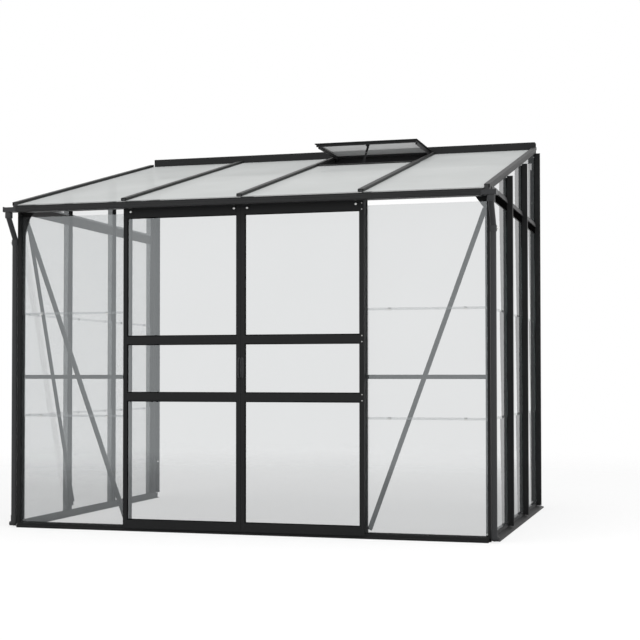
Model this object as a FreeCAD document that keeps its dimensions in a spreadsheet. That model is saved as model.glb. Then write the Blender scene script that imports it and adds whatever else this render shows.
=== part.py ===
import FreeCAD, Part
import Sketcher
import os
import re

# Lean-to greenhouse, millimetres.  +Z is up and +Y points at the house wall.
# The origin is on the ground under the middle of the front sill.
# Four bays run across the front and three run back along each side wall.

os.makedirs("parts", exist_ok=True)
doc = FreeCAD.newDocument("lean_to_greenhouse")

# Lengths in millimetres; one written as a formula follows another length
SIZES = {
    # bays and the planes that the panes stand in
    "bay_pitch": 620,
    "side_start": -4,
    "glass_face": 20,
    "side_inset": 9,
    "pane_thick": 3,
    "pane_lean": 4,
    "pane_gap": 0.5,
    "lap_low": 576,
    "lap_high": 1108,
    "lap_cover": 12,
    # sills
    "sill_front": 30,
    "sill_lip": 9,
    "sill_stop": 20,
    "side_lip": 35,
    "side_stop": 34,
    "side_rise": 17,
    "sill_inner": 27,
    "groove_floor": 5,
    "foot_width": 12,
    "sill_wall": 2.2,
    "guide_rib": 26,
    "anchor_radius": 3.5,
    # posts and mullions
    "post_front": 11,
    "post_cap": 26,
    "corner_width": 14,
    "jamb_width": 21,
    "mullion_width": 22,
    "mullion_depth": 27,
    "flange_reach": 16.5,
    "flange_thick": 2.2,
    "web_thick": 3,
    "web_inner": 33.5,
    "wall_plane": 1920,
    "wall_flange": 27,
    "screw_radius": 4,
    # eaves
    "eave_soffit": 1675,
    "front_pane_top": "=eave_soffit - 53",
    "eave_back": "=eave_soffit - 18",
    "eave_wall": 2.5,
    "eave_front": 45,
    "side_bar_low": "=eave_soffit - 35",
    "side_bar_tall": 53,
    "side_bar_bend": 30,
    "gutter_front": 100,
    "gutter_low": "=eave_soffit - 37",
    "gutter_tall": 31,
    "gutter_past": 15.6,
    "gutter_short": 17,
    "gutter_groove": 1.2,
    "outlet_lap": 20,
    "outlet_wall": 2,
    "outlet_tall": 24,
    # roof
    "roof_rise": "=eave_soffit + 31.5",
    "roof_pitch": 13.7,
    "roof_nose": 55,
    "bar_width": 20,
    "bar_proud": 12,
    "bar_depth": 41,
    "end_bar_depth": 34,
    "panel_thick": 4,
    "ridge_face": 1857,
    "ridge_below": 54.188,
    "ridge_tall": 88,
    "ridge_short": 21.5,
    "ridge_lap": 17,
    # roof vent
    "hinge_back": 15,
    "hinge_over": 1.469,
    "hinge_pin": 3,
    "knuckle": 5.5,
    "knuckle_long": 40,
    "knuckle_inset": 32,
    "flap_long": 480,
    "flap_side": 12,
    "flap_deep": 16.5,
    "flap_over": 4.5,
    "flap_lip": 14.249,
    "vent_sill_wide": 26.5,
    "stay_back": 55,
    "stay_drop": 8,
    "stay_wide": 13,
    "stay_long": 113,
    "stay_straight": 12,
    "stay_lean": 31,
    "stay_thick": 3,
    # sliding door leaves
    "leaf_over": 10,
    "leaf_front": 33,
    "leaf_thick": 18,
    "leaf_foot": 14.5,
    "leaf_top": "=track_lip - 3",
    "stile": 21,
    "bottom_rail": 44,
    "top_rail": 56,
    "mid_rail": 40.6,
    "rail_one": 662.2,
    "rail_two": 948.7,
    "travel_short": 30,
    "wheel_radius": 8,
    "wheel_wide": 6,
    "wheel_inset": 40,
    "wheel_inner": 34,
    "axle_radius": 3,
    "hanger_half": 13,
    "hanger_thick": 2.5,
    "hanger_lap": 45,
    "hanger_over": 8,
    "wheel_back": 11.5,
    "track_lip": "=eave_soffit - 22",
    "track_wall": 2.5,
    "handle_low": 778,
    "handle_tall": 101,
    "handle_grip": 20,
    # rain pipes
    "pipe_off": 2.3,
    "pipe_y": 10,
    "pipe_radius": 14,
    "pipe_wall": 1.5,
    "outlet_y": 81,
    "neck_radius": 19.5,
    "neck_bend": "=gutter_low - 29",
    "neck_foot": "=gutter_low - 130",
    "collar_low": "=gutter_low - 164",
    "collar_tall": 29,
    "collar_radius": 17,
    "shoe_low": 22,
    "shoe_tall": 40,
    "spout_radius": 11,
    "spout_reach": 22,
    # braces, bars, clips and bolts
    "mid_bar_low": 773,
    "mid_bar_tall": 21,
    "brace_wide": 22,
    "brace_thick": 2.5,
    "brace_leg": 12,
    "gusset_wide": 78,
    "gusset_tall": 92,
    "gusset_tip": 8,
    "knee_wide": 62,
    "knee_drop": 120,
    "knee_rise": 30,
    "knee_lap": 10,
    "clip_wide": 16,
    "bolt_radius": 4.5,
    "bolt_head": 3,
    "fit": 0.3,
    "running": 0.06,
}

sheet = doc.addObject("Spreadsheet::Sheet", "Dim")
for row, (word, size) in enumerate(SIZES.items(), start=1):
    sheet.set(f"A{row}", word)
    sheet.set(f"B{row}", str(size))
    sheet.setAlias(f"B{row}", word)
doc.recompute()

FRONT_BAYS = 4
SIDE_BAYS = 3
nodes = {}


def bound(text):
    """A plain expression, with each word of the sheet turned into a reference to its cell."""
    def cell(found):
        word = found.group()
        return f"Dim.{word}" if word in SIZES else word

    return re.sub(r"[a-z_]+", cell, text)


def keep(node, piece):
    """Make a document object one named piece of the greenhouse."""
    piece.Label = node
    nodes[node] = piece
    return piece


def mirrored(side, low, high):
    """A pair of distances from the middle, on the right (side 1) or the left (side -1)."""
    return (low, high) if side > 0 else (f"-({high})", f"-({low})")


def box(x, y, z):
    """A block between three (low, high) pairs of expressions."""
    block = doc.addObject("Part::Box", "Block")
    for length, axis, (low, high) in (("Length", "x", x), ("Width", "y", y), ("Height", "z", z)):
        block.setExpression(length, bound(f"({high}) - ({low})"))
        block.setExpression(f"Placement.Base.{axis}", bound(f"({low}) * 1mm"))
    return block


TURN = {
    "x": FreeCAD.Rotation(FreeCAD.Vector(0, 1, 0), 90),
    "y": FreeCAD.Rotation(FreeCAD.Vector(1, 0, 0), -90),
    "z": FreeCAD.Rotation(),
}


def rod(along, radius, centre, span):
    """A round bar along one axis; centre gives the other two places in x, y, z order."""
    bar = doc.addObject("Part::Cylinder", "Rod")
    low, high = span
    bar.setExpression("Radius", bound(radius))
    bar.setExpression("Height", bound(f"({high}) - ({low})"))
    bar.Placement.Rotation = TURN[along]
    places = iter(centre)
    for axis in "xyz":
        place = low if axis == along else next(places)
        bar.setExpression(f"Placement.Base.{axis}", bound(f"({place}) * 1mm"))
    return bar


def ball(radius, x, y, z):
    """A sphere, which makes the round elbow where two pipes meet."""
    sphere = doc.addObject("Part::Sphere", "Ball")
    sphere.setExpression("Radius", bound(radius))
    for axis, place in (("x", x), ("y", y), ("z", z)):
        sphere.setExpression(f"Placement.Base.{axis}", bound(f"({place}) * 1mm"))
    return sphere


def prism(plane, points, span):
    """A sketched outline padded square to its plane, between two places on the third axis."""
    body = doc.addObject("PartDesign::Body", "Section")
    sketch = body.newObject("Sketcher::SketchObject", "Outline")
    origin_plane = next(item for item in body.Origin.OriginFeatures if item.Role == f"{plane}_Plane")
    sketch.AttachmentSupport = [(origin_plane, "")]
    sketch.MapMode = "FlatFace"
    corners = [tuple(float(sketch.evalExpression(bound(place))) for place in point) for point in points]
    count = len(points)
    for index in range(count):
        start = FreeCAD.Vector(*corners[index], 0)
        end = FreeCAD.Vector(*corners[(index + 1) % count], 0)
        sketch.addGeometry(Part.LineSegment(start, end), False)
    for index in range(count):
        sketch.addConstraint(Sketcher.Constraint("Coincident", index, 2, (index + 1) % count, 1))
    for index, point in enumerate(points):
        for kind, place, value in zip(("DistanceX", "DistanceY"), point, corners[index]):
            fixed = sketch.addConstraint(Sketcher.Constraint(kind, index, 1, value))
            sketch.setExpression(f"Constraints[{fixed}]", bound(place))
    pad = body.newObject("PartDesign::Pad", "Pad")
    pad.Profile = sketch
    low, high = span
    pad.setExpression("Length", bound(f"({high}) - ({low})"))
    axis, start = {"YZ": ("x", low), "XZ": ("y", high), "XY": ("z", low)}[plane]
    body.setExpression(f"Placement.Base.{axis}", bound(f"({start}) * 1mm"))
    return body


def joined(*pieces):
    """Several touching blocks as one extrusion or casting."""
    if len(pieces) == 1:
        return pieces[0]
    whole = doc.addObject("Part::MultiFuse", "Joined")
    whole.Shapes = list(pieces)
    return whole


def cut(base, *tools):
    """A piece with other shapes taken out of it."""
    piece = doc.addObject("Part::Cut", "Cut")
    piece.Base = base
    piece.Tool = joined(*tools)
    return piece


def group(*pieces):
    """Separate like solids that are one node, such as a set of bolts."""
    bunch = doc.addObject("Part::Compound", "Group")
    bunch.Links = list(pieces)
    return bunch


def roof(y):
    """Height of the roof bars' top plane above the ground at a distance y towards the wall."""
    return f"(roof_rise + ({y}) * tan(roof_pitch * 1deg))"


def sloped(x, y, drops):
    """A strip that lies in the roof's slope, between two drops below the bars' top plane."""
    low, high = y
    upper, lower = drops
    outline = [
        (low, f"{roof(low)} - ({lower})"),
        (high, f"{roof(high)} - ({lower})"),
        (high, f"{roof(high)} - ({upper})"),
        (low, f"{roof(low)} - ({upper})"),
    ]
    return prism("YZ", outline, x)


def upright(x, y, foot, drop):
    """A vertical bar whose top is cut to the slope, a drop below the roof bars' top plane."""
    low, high = y
    outline = [
        (low, foot),
        (high, foot),
        (high, f"{roof(high)} - ({drop})"),
        (low, f"{roof(low)} - ({drop})"),
    ]
    return prism("YZ", outline, x)


SIDES = (("left", -1), ("right", 1))

# Places that several pieces share, as expressions over the sheet's words
CORNER = "(2 * bay_pitch)"
SIDE_GLASS = f"({CORNER} - side_inset)"
SIDE_BACK = f"({SIDE_GLASS} - pane_thick)"
SIDE_LEAN = f"({SIDE_GLASS} + pane_lean)"
CAP_INNER = f"({SIDE_LEAN} + 2 * fit)"
SILL_STOP_OUT = f"({SIDE_LEAN} + fit * 3 + sill_wall)"
CAP_STEP = f"({SILL_STOP_OUT} + fit)"
CAP_OUTER = f"({CAP_STEP} + mullion_depth)"
SIDE_FLANGE = (f"({SIDE_BACK} - 2 * fit - flange_thick - 1)", f"({SIDE_BACK} - 2 * fit - 1)")
WEB_EDGE = f"({SIDE_FLANGE[0]} - 8)"
SILL_INSIDE = f"({WEB_EDGE} - 1.3)"
CORNER_INNER = f"({CAP_STEP} - corner_width)"
FRONT_FLANGE = ("(glass_face + pane_thick + pane_gap)",
                "(glass_face + pane_thick + pane_gap + flange_thick)")
SILL_BACK = ("(glass_face + pane_thick + 2 * pane_gap)",
             "(glass_face + pane_thick + 2 * pane_gap + sill_wall)")
FRONT_SILL_END = f"({CORNER} - 10)"
CORNER_BLOCK = f"({FRONT_FLANGE[1]} + 2.2)"
CORNER_LEG = f"({FRONT_FLANGE[1]} + 19)"
BEAM_HALF = f"({CORNER_INNER} - 3 * fit)"
BEAM_BACK = (FRONT_FLANGE[1], f"({FRONT_FLANGE[1]} + eave_wall)")
BEAM_TOP = "(eave_soffit + eave_wall)"
WALL_POST = f"(side_start + {SIDE_BAYS} * bay_pitch)"
PIPE_BORE = "(pipe_radius - pipe_wall)"
GUTTER_HALF = f"({CAP_OUTER} + gutter_past)"
GUTTER_END = f"({CORNER_INNER} - gutter_short)"
PIPE_X = f"({CAP_STEP} + pipe_off + pipe_radius)"
LEAF_WIDE = "(bay_pitch + leaf_over)"
DOOR_TRAVEL = "(bay_pitch - travel_short)"
RIDGE_LOW = f"({roof('ridge_face')} - ridge_below)"
RIDGE_TOP = f"({RIDGE_LOW} + ridge_tall)"
RIDGE_SCREW = f"({RIDGE_LOW} - ridge_lap)"
HINGE_Y = "(ridge_face - hinge_back)"
HINGE_Z = f"({roof(HINGE_Y)} + hinge_over)"
VENT_SILL = f"({HINGE_Y} - (flap_long - flap_lip) * cos(roof_pitch * 1deg))"


def front_sill():
    """Front base rail: a sloping nose, a middle web, a groove for the panes and an anchored foot."""
    slope = "((sill_stop - sill_lip) / (sill_front + glass_face - 8))"
    stop = "(glass_face - 8)"
    rib = "(leaf_front - leaf_thick / 2)"
    under_drop = "(sill_stop - sill_lip - sill_wall * 0.6)"
    under = f"({under_drop} / (sill_front + {stop} - sill_wall))"
    nose_under = "sill_lip - sill_wall * 0.6"
    outline = [
        ("-sill_front", "0"),
        ("-sill_front", "sill_lip"),
        (f"-{rib} - sill_wall / 2", f"sill_lip + (sill_front - {rib} - sill_wall / 2) * {slope}"),
        (f"-{rib} - sill_wall / 2", "guide_rib"),
        (f"-{rib} + sill_wall / 2", "guide_rib"),
        (f"-{rib} + sill_wall / 2", f"sill_lip + (sill_front - {rib} + sill_wall / 2) * {slope}"),
        (stop, "sill_stop"),
        (f"{stop} + sill_wall", "sill_stop"),
        (f"{stop} + sill_wall", "groove_floor"),
        (SILL_BACK[0], "groove_floor"),
        (SILL_BACK[0], "sill_inner"),
        (SILL_BACK[1], "sill_inner"),
        (SILL_BACK[1], "sill_wall"),
        (f"{SILL_BACK[1]} + foot_width", "sill_wall"),
        (f"{SILL_BACK[1]} + foot_width", "0"),
        (SILL_BACK[0], "0"),
        (SILL_BACK[0], "groove_floor - sill_wall"),
        (stop, "groove_floor - sill_wall"),
        (stop, "sill_stop - sill_wall * 1.2"),
        ("sill_wall / 2", f"{nose_under} + (sill_front - sill_wall / 2) * {under}"),
        ("sill_wall / 2", "0"),
        ("-sill_wall / 2", "0"),
        ("-sill_wall / 2", f"{nose_under} + (sill_front - sill_wall * 1.5) * {under}"),
        ("-sill_front + sill_wall", nose_under),
        ("-sill_front + sill_wall", "0"),
    ]
    rail = prism("YZ", outline, (f"-{FRONT_SILL_END}", FRONT_SILL_END))
    hole_y = f"{SILL_BACK[1]} + foot_width / 2"
    holes = [
        rod("z", "anchor_radius", (f"bay_pitch * {bay - 1.5}", hole_y), ("-1", "sill_wall + 1"))
        for bay in range(FRONT_BAYS)
    ]
    keep("sill_front", cut(rail, *holes))


def side_sill(name, side):
    """Side base rail: a sloping outer lip, a stop outside the panes and an anchored inner foot."""
    stop = f"({SILL_STOP_OUT} - sill_wall)"
    lip = f"({SILL_STOP_OUT} + side_lip)"
    inside = f"({SILL_INSIDE} - sill_wall)"
    outline = [
        (lip, "0"),
        (lip, "sill_lip / 2"),
        (SILL_STOP_OUT, "side_rise"),
        (SILL_STOP_OUT, "side_stop"),
        (stop, "side_stop"),
        (stop, "groove_floor"),
        (SILL_INSIDE, "groove_floor"),
        (SILL_INSIDE, "side_stop - 1"),
        (inside, "side_stop - 1"),
        (inside, "sill_wall"),
        (f"{inside} - foot_width", "sill_wall"),
        (f"{inside} - foot_width", "0"),
        (SILL_INSIDE, "0"),
        (SILL_INSIDE, "groove_floor - sill_wall"),
        (SILL_STOP_OUT, "groove_floor - sill_wall"),
        (SILL_STOP_OUT, "side_rise - sill_wall * 1.2"),
        (f"{lip} - sill_wall", "sill_lip / 2 - sill_wall * 0.6"),
        (f"{lip} - sill_wall", "0"),
    ]
    if side < 0:
        outline = [(f"-({x})", z) for x, z in outline]
    rail = prism("XZ", outline, (f"{SILL_BACK[1]} + foot_width + fit", "wall_plane"))
    hole_x = f"{side} * ({inside} - foot_width / 2)"
    holes = [
        rod("z", "anchor_radius", (hole_x, f"side_start + bay_pitch * {bay + 0.5}"), ("-1", "sill_wall + 1"))
        for bay in range(SIDE_BAYS)
    ]
    keep(f"sill_{name}", cut(rail, *holes))


def corner_post(name, side):
    """Front corner post: a narrow cap in front and a leg behind each glass wall."""
    cap_top = "eave_soffit - 15"
    web = f"({CORNER_INNER} - web_thick - fit)"
    parts = [
        box(mirrored(side, CORNER_INNER, CAP_STEP), ("-post_front", "post_cap - post_front"),
            ("sill_stop", cap_top)),
        box(mirrored(side, CAP_INNER, CAP_STEP), ("post_cap - post_front", CORNER_BLOCK),
            ("side_stop", cap_top)),
        box(mirrored(side, f"{FRONT_SILL_END} + fit", CAP_INNER), ("glass_face - 8", CORNER_BLOCK),
            ("0", cap_top)),
        box(mirrored(side, SIDE_FLANGE[0], CAP_INNER), (FRONT_FLANGE[0], CORNER_BLOCK),
            ("sill_inner", cap_top)),
        upright(mirrored(side, SIDE_FLANGE[0], SIDE_FLANGE[1]), (FRONT_FLANGE[0], CORNER_LEG), "side_stop",
                "bar_depth + 2"),
        box(mirrored(side, f"{CORNER_INNER} - 14", SIDE_FLANGE[1]), FRONT_FLANGE,
            ("sill_inner", "eave_soffit")),
        box(mirrored(side, web, f"{CORNER_INNER} - fit"), (FRONT_FLANGE[1], "web_inner"),
            ("sill_inner", "eave_back")),
    ]
    keep(f"corner_post_{name}", joined(*parts))


def jamb_post(side):
    """Door jamb: a cap in front of the pane's edge, a web and a flange behind the glass."""
    centre = f"{side} * bay_pitch"
    web = (f"{centre} - web_thick / 2", f"{centre} + web_thick / 2")
    cap_back = "(post_cap - post_front)"
    parts = [
        box((f"{centre} - jamb_width / 2", f"{centre} + jamb_width / 2"), ("-post_front", cap_back),
            ("sill_stop", "track_lip - fit")),
        box(web, (cap_back, FRONT_FLANGE[0]), ("sill_inner", "track_lip - fit")),
        box(web, (FRONT_FLANGE[1], "web_inner"), ("sill_inner", "eave_back")),
        box((f"{centre} - flange_reach + 1.5", f"{centre} + flange_reach - 1.5"), FRONT_FLANGE,
            ("sill_inner", "eave_soffit")),
    ]
    return joined(*parts)


def mullion_section(side, centre, inner_drop):
    """The blocks of one side mullion: outer cap, web between the panes, flange behind them."""
    across = (f"{centre} - mullion_width / 2", f"{centre} + mullion_width / 2")
    web = (f"{centre} - web_thick / 2", f"{centre} + web_thick / 2")
    behind = (f"{centre} - flange_reach", f"{centre} + flange_reach")
    return [
        upright(mirrored(side, CAP_STEP, CAP_OUTER), across, "side_rise + 2", "end_bar_depth + 1"),
        upright(mirrored(side, CAP_INNER, CAP_STEP), across, "side_stop", "end_bar_depth + 1"),
        upright(mirrored(side, WEB_EDGE, CAP_INNER), web, "side_stop", inner_drop),
        upright(mirrored(side, WEB_EDGE, SIDE_FLANGE[1]), web, "groove_floor", inner_drop),
        upright(mirrored(side, *SIDE_FLANGE), behind, "groove_floor", inner_drop),
    ]


def side_mullions():
    """The two free-standing mullions of each side wall."""
    keep("side_mullions", group(*[
        joined(*mullion_section(side, f"(side_start + {bay} * bay_pitch)", "bar_depth + 2"))
        for _, side in SIDES
        for bay in range(1, SIDE_BAYS)
    ]))


def wall_post(name, side):
    """The last upright of a side wall, with a leg and a screwed flange against the house wall."""
    inner = f"({SIDE_FLANGE[1]} - wall_flange)"
    leg_top = f"{RIDGE_SCREW} - 2 * wall_flange"
    face = ("wall_plane - flange_thick", "wall_plane")
    under_ridge = f"{roof(f'{WALL_POST} + flange_reach')} - {RIDGE_LOW}"
    parts = mullion_section(side, WALL_POST, under_ridge)
    parts.append(box(mirrored(side, *SIDE_FLANGE), (WALL_POST, "wall_plane"), ("groove_floor", leg_top)))
    parts.append(box(mirrored(side, inner, SIDE_FLANGE[1]), face, ("side_stop", leg_top)))
    hole_x = f"{side} * ({inner} + wall_flange * 0.4)"
    holes = [
        rod("y", "screw_radius", (hole_x, f"side_stop + ({leg_top} - side_stop) * {share}"),
            (f"{face[0]} - 1", f"{face[1]} + 1"))
        for share in (0.1, 0.5, 0.9)
    ]
    keep(f"wall_post_{name}", cut(joined(*parts), *holes))


def side_eave_bars(side):
    """Rails at eaves height between the uprights of a side wall, with a slanted upper face."""
    inner = SIDE_FLANGE[1]
    outer = f"({CAP_INNER} - fit)"
    top = "side_bar_low + side_bar_tall"
    outline = [
        (inner, "side_bar_low"),
        (outer, "side_bar_low"),
        (outer, "side_bar_low + side_bar_bend"),
        (f"{SIDE_GLASS} + pane_gap", top),
        (inner, top),
    ]
    if side < 0:
        outline = [(f"-({x})", z) for x, z in outline]
    starts = [CORNER_BLOCK] + [f"side_start + {bay} * bay_pitch + web_thick / 2" for bay in range(1,
                                                                                                  SIDE_BAYS)]
    ends = [f"side_start + {bay} * bay_pitch - web_thick / 2" for bay in range(1, SIDE_BAYS + 1)]
    return [prism("XZ", outline, span) for span in zip(starts, ends)]


def eave_beam():
    """Angle over the front wall: its top plate carries the roof bars, the gutter and the track."""
    half = (f"-{BEAM_HALF}", BEAM_HALF)
    plate = box(half, ("-eave_front", BEAM_BACK[1]), ("eave_soffit", BEAM_TOP))
    back = box(half, BEAM_BACK, ("eave_back", "eave_soffit"))
    keep("eave_beam", joined(plate, back))


def roller_track():
    """Rail hung under the eave beam, with the lip that the door wheels roll on."""
    half = (f"-{BEAM_HALF}", BEAM_HALF)
    web_front = "(leaf_front - leaf_thick - 3)"
    lip_top = "(track_lip + track_wall)"
    web = box(half, (f"-{web_front}", f"-{web_front} + track_wall"), ("track_lip", "eave_soffit"))
    lip = box(half, ("-leaf_front + 3", f"-{web_front}"), ("track_lip", lip_top))
    edge = box(half, ("-leaf_front + 3", "-leaf_front + 3 + track_wall - 0.7"),
               (lip_top, f"{lip_top} + 2.5"))
    stop_near = f"({LEAF_WIDE} - wheel_inset + {DOOR_TRAVEL} + wheel_radius + fit)"
    stops = [
        box(mirrored(side, stop_near, f"{stop_near} + 8"), (f"-{web_front} - 12", f"-{web_front}"),
            (lip_top, f"{lip_top} + 12"))
        for _, side in SIDES
    ]
    keep("roller_track", joined(web, lip, edge, *stops))


def gutter():
    """Rain gutter along the eaves, with three grooves down its front."""
    low = "gutter_low"
    outline = [("-gutter_front", low)]
    for share in (0.1, 0.5, 0.88):
        level = f"(gutter_low + gutter_tall * {share})"
        outline.append(("-gutter_front", f"{level} - gutter_groove"))
        outline.append(("-gutter_front + gutter_groove", f"{level} - gutter_groove / 2"))
        outline.append(("-gutter_front + gutter_groove", f"{level} + gutter_groove / 2"))
        outline.append(("-gutter_front", f"{level} + gutter_groove"))
    outline += [
        ("-gutter_front", "gutter_low + gutter_tall"),
        ("-gutter_front + eave_wall", "gutter_low + gutter_tall"),
        ("-gutter_front + eave_wall", "gutter_low + eave_wall"),
        ("-eave_front - eave_wall", "gutter_low + eave_wall"),
        ("-eave_front - eave_wall", BEAM_TOP),
        ("-eave_front", BEAM_TOP),
        ("-eave_front", low),
    ]
    keep("gutter", prism("YZ", outline, (f"-{GUTTER_END}", GUTTER_END)))


def gutter_outlet(side):
    """Moulded box pushed into the gutter's end: closed outside, with a spigot over the pipe."""
    floor = "(gutter_low + eave_wall)"
    start = f"({GUTTER_END} - outlet_lap)"
    front = "(gutter_front - eave_wall - fit)"
    back = "(eave_front + eave_wall + fit)"
    shell = box(mirrored(side, start, GUTTER_HALF), (f"-{front}", f"-{back}"),
                (floor, f"{floor} + outlet_tall"))
    rim = box(mirrored(side, f"{GUTTER_HALF} - outlet_wall", GUTTER_HALF),
              (f"-{front} - outlet_wall", f"-{back} + outlet_wall"), (f"{floor} - fit",
                                                                      f"{floor} + outlet_tall + 3"))
    inside = box(mirrored(side, f"{start} - 1", f"{GUTTER_HALF} - outlet_wall"),
                 (f"-{front} + outlet_wall", f"-{back} - outlet_wall"),
                 (f"{floor} + outlet_wall", f"{floor} + outlet_tall + 1"))
    centre = (f"{side} * {PIPE_X}", "-outlet_y")
    spigot = rod("z", "pipe_radius", centre, ("gutter_low - 16", f"{floor} + outlet_wall / 2"))
    bore = rod("z", f"{PIPE_BORE} - fit", centre, ("gutter_low - 17", f"{floor} + outlet_wall + 1"))
    return cut(joined(shell, rim, spigot), inside, bore)


def rain_pipe(side):
    """Swan neck from the gutter's outlet, the pipe beside the post, its collar and the shoe."""
    x = f"{side} * {PIPE_X}"
    run = "(outlet_y - pipe_y)"
    fall = "(neck_bend - neck_foot)"
    mouth = "(gutter_low - 2 * fit)"
    joint = "(collar_low + collar_tall / 2)"

    def neck_core(radius, foot):
        slant = doc.addObject("Part::Cylinder", "Slant")
        slant.setExpression("Radius", bound(radius))
        slant.setExpression("Height", bound(f"sqrt({run} ^ 2 + {fall} ^ 2)"))
        slant.Placement.Rotation = FreeCAD.Rotation(FreeCAD.Vector(1, 0, 0), 30)
        slant.setExpression("Placement.Rotation.Angle", bound(f"atan({run} / {fall})"))
        for axis, place in (("x", x), ("y", "-pipe_y"), ("z", "neck_foot")):
            slant.setExpression(f"Placement.Base.{axis}", bound(f"({place}) * 1mm"))
        drop = rod("z", radius, (x, "-pipe_y"), (foot, "neck_foot"))
        elbows = (ball(radius, x, "-pipe_y", "neck_foot"), ball(radius, x, "-outlet_y", "neck_bend"))
        return [slant, drop, *elbows]

    socket = rod("z", "neck_radius", (x, "-outlet_y"), ("neck_bend", mouth))
    outer = joined(socket, *neck_core("pipe_radius", joint))
    bore = joined(*neck_core(PIPE_BORE, f"{joint} - 1"),
                  rod("z", PIPE_BORE, (x, "-outlet_y"), ("neck_bend", mouth)))
    seat = rod("z", "pipe_radius + fit", (x, "-outlet_y"), ("gutter_low - 17", f"{mouth} + 1"))
    neck = cut(outer, bore, seat)

    foot = "(shoe_low + 4)"
    hole = rod("z", PIPE_BORE, (x, "-pipe_y"), (f"{foot} - 1", f"{joint} + 1"))
    tube = cut(rod("z", "pipe_radius", (x, "-pipe_y"), (foot, joint)), hole)

    collar_top = "(collar_low + collar_tall)"
    ring = rod("z", "collar_radius", (x, "-pipe_y"), ("collar_low", collar_top))
    pad = box(mirrored(side, CAP_STEP, PIPE_X), ("-pipe_y - 8", "-pipe_y + 8"), ("collar_low", collar_top))
    through = rod("z", "pipe_radius + running", (x, "-pipe_y"), ("collar_low - 1", f"{collar_top} + 1"))
    flat = box(mirrored(side, f"{CAP_STEP} - collar_radius", CAP_STEP),
               ("-pipe_y - collar_radius - 1", "-pipe_y + collar_radius + 1"), ("collar_low - 1",
                                                                                f"{collar_top} + 1"))
    collar = cut(joined(ring, pad), through, flat)

    sleeve = rod("z", "pipe_radius + 2", (x, "-pipe_y"), ("shoe_low", "shoe_low + shoe_tall"))
    bulge = ball("pipe_radius + 2", x, "-pipe_y", "shoe_low")
    spout_z = "(shoe_low - 4)"
    spout = rod("x", "spout_radius", ("-pipe_y", spout_z), mirrored(side, PIPE_X, f"{PIPE_X} + spout_reach"))
    seat = rod("z", "pipe_radius + running", (x, "-pipe_y"), (foot, "shoe_low + shoe_tall + 1"))
    basin = ball(PIPE_BORE, x, "-pipe_y", "shoe_low")
    riser = rod("z", PIPE_BORE, (x, "-pipe_y"), ("shoe_low", f"{foot} + 1"))
    outlet = rod("x", "spout_radius - 2", ("-pipe_y", spout_z),
                 mirrored(side, PIPE_X, f"{PIPE_X} + spout_reach + 1"))
    shoe = cut(joined(sleeve, bulge, spout), seat, basin, riser, outlet)
    return neck, tube, collar, shoe


def ridge_bar():
    """Channel against the house wall that takes the roof bars' upper ends."""
    half = (f"-({CORNER} - 4.5 - ridge_short)", f"({CORNER} - 4.5)")
    face = box(half, ("ridge_face", "ridge_face + eave_wall"), (RIDGE_LOW, RIDGE_TOP))
    top = box(half, ("ridge_face", "wall_plane"), (f"{RIDGE_TOP} - eave_wall", RIDGE_TOP))
    back = box(half, ("wall_plane - eave_wall", "wall_plane"), (f"{RIDGE_SCREW} - 14", RIDGE_TOP))
    holes = [
        rod("y", "screw_radius", (f"bay_pitch * {bay - 1.5}", RIDGE_SCREW),
            ("wall_plane - 5", "wall_plane + 1"))
        for bay in range(FRONT_BAYS)
    ]
    keep("ridge_bar", cut(joined(face, top, back), *holes))


def roof_bar(column):
    """Intermediate rafter: a cap over the panels' edges, a ledge under them and a deep web."""
    centre = f"({column} * bay_pitch)"
    cap = sloped((f"{centre} - bar_width / 2", f"{centre} + bar_width / 2"), ("-roof_nose", "ridge_face"),
                 ("0", "bar_proud"))
    ledge = sloped((f"{centre} - 15", f"{centre} + 15"), (f"-{BEAM_BACK[1]}", "ridge_face"),
                   ("bar_proud + panel_thick", "bar_proud + panel_thick + 2"))
    outline = [
        (f"-{BEAM_BACK[1]}", BEAM_TOP),
        (f"{BEAM_BACK[1]} + fit", BEAM_TOP),
        (f"{BEAM_BACK[1]} + fit", f"{roof(BEAM_BACK[1])} - bar_depth"),
        ("ridge_face", f"{roof('ridge_face')} - bar_depth"),
        ("ridge_face", f"{roof('ridge_face')} - bar_proud / 2"),
        (f"-{BEAM_BACK[1]}", f"{roof('-' + BEAM_BACK[1])} - bar_proud / 2"),
    ]
    web = prism("YZ", outline, (f"{centre} - web_thick / 2", f"{centre} + web_thick / 2"))
    return joined(cap, ledge, web)


def end_roof_bar(name, side):
    """Outermost rafter: it also holds the top edges of the side wall's gable panes."""
    outer = f"({CAP_INNER} + 2.8)"
    inner = f"({outer} - bar_width)"
    ledge = (f"{inner} - 8", f"{outer} - 2.4")
    seat = f"-{BEAM_BACK[1]}"
    under = "(bar_proud + panel_thick)"
    rest = [
        (seat, BEAM_TOP),
        (BEAM_BACK[1], BEAM_TOP),
        (BEAM_BACK[1], f"{roof(BEAM_BACK[1])} - {under} - 1"),
        (seat, f"{roof(seat)} - {under} - 1"),
    ]
    parts = [
        sloped(mirrored(side, inner, outer), ("-roof_nose", "ridge_face"), ("0", "bar_proud")),
        sloped(mirrored(side, f"{outer} - 2.4", outer), ("-eave_front + fit", "ridge_face"),
               ("bar_proud", "end_bar_depth")),
        sloped(mirrored(side, *ledge), (seat, "ridge_face"), (under, f"{under} + 2.6")),
        sloped(mirrored(side, *SIDE_FLANGE), (CORNER_BLOCK, "ridge_face"), (f"{under} + 2.6", "bar_depth")),
        prism("YZ", rest, mirrored(side, f"{inner} - 8", f"{inner} - 5")),
    ]
    keep(f"end_roof_bar_{name}", joined(*parts))


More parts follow.
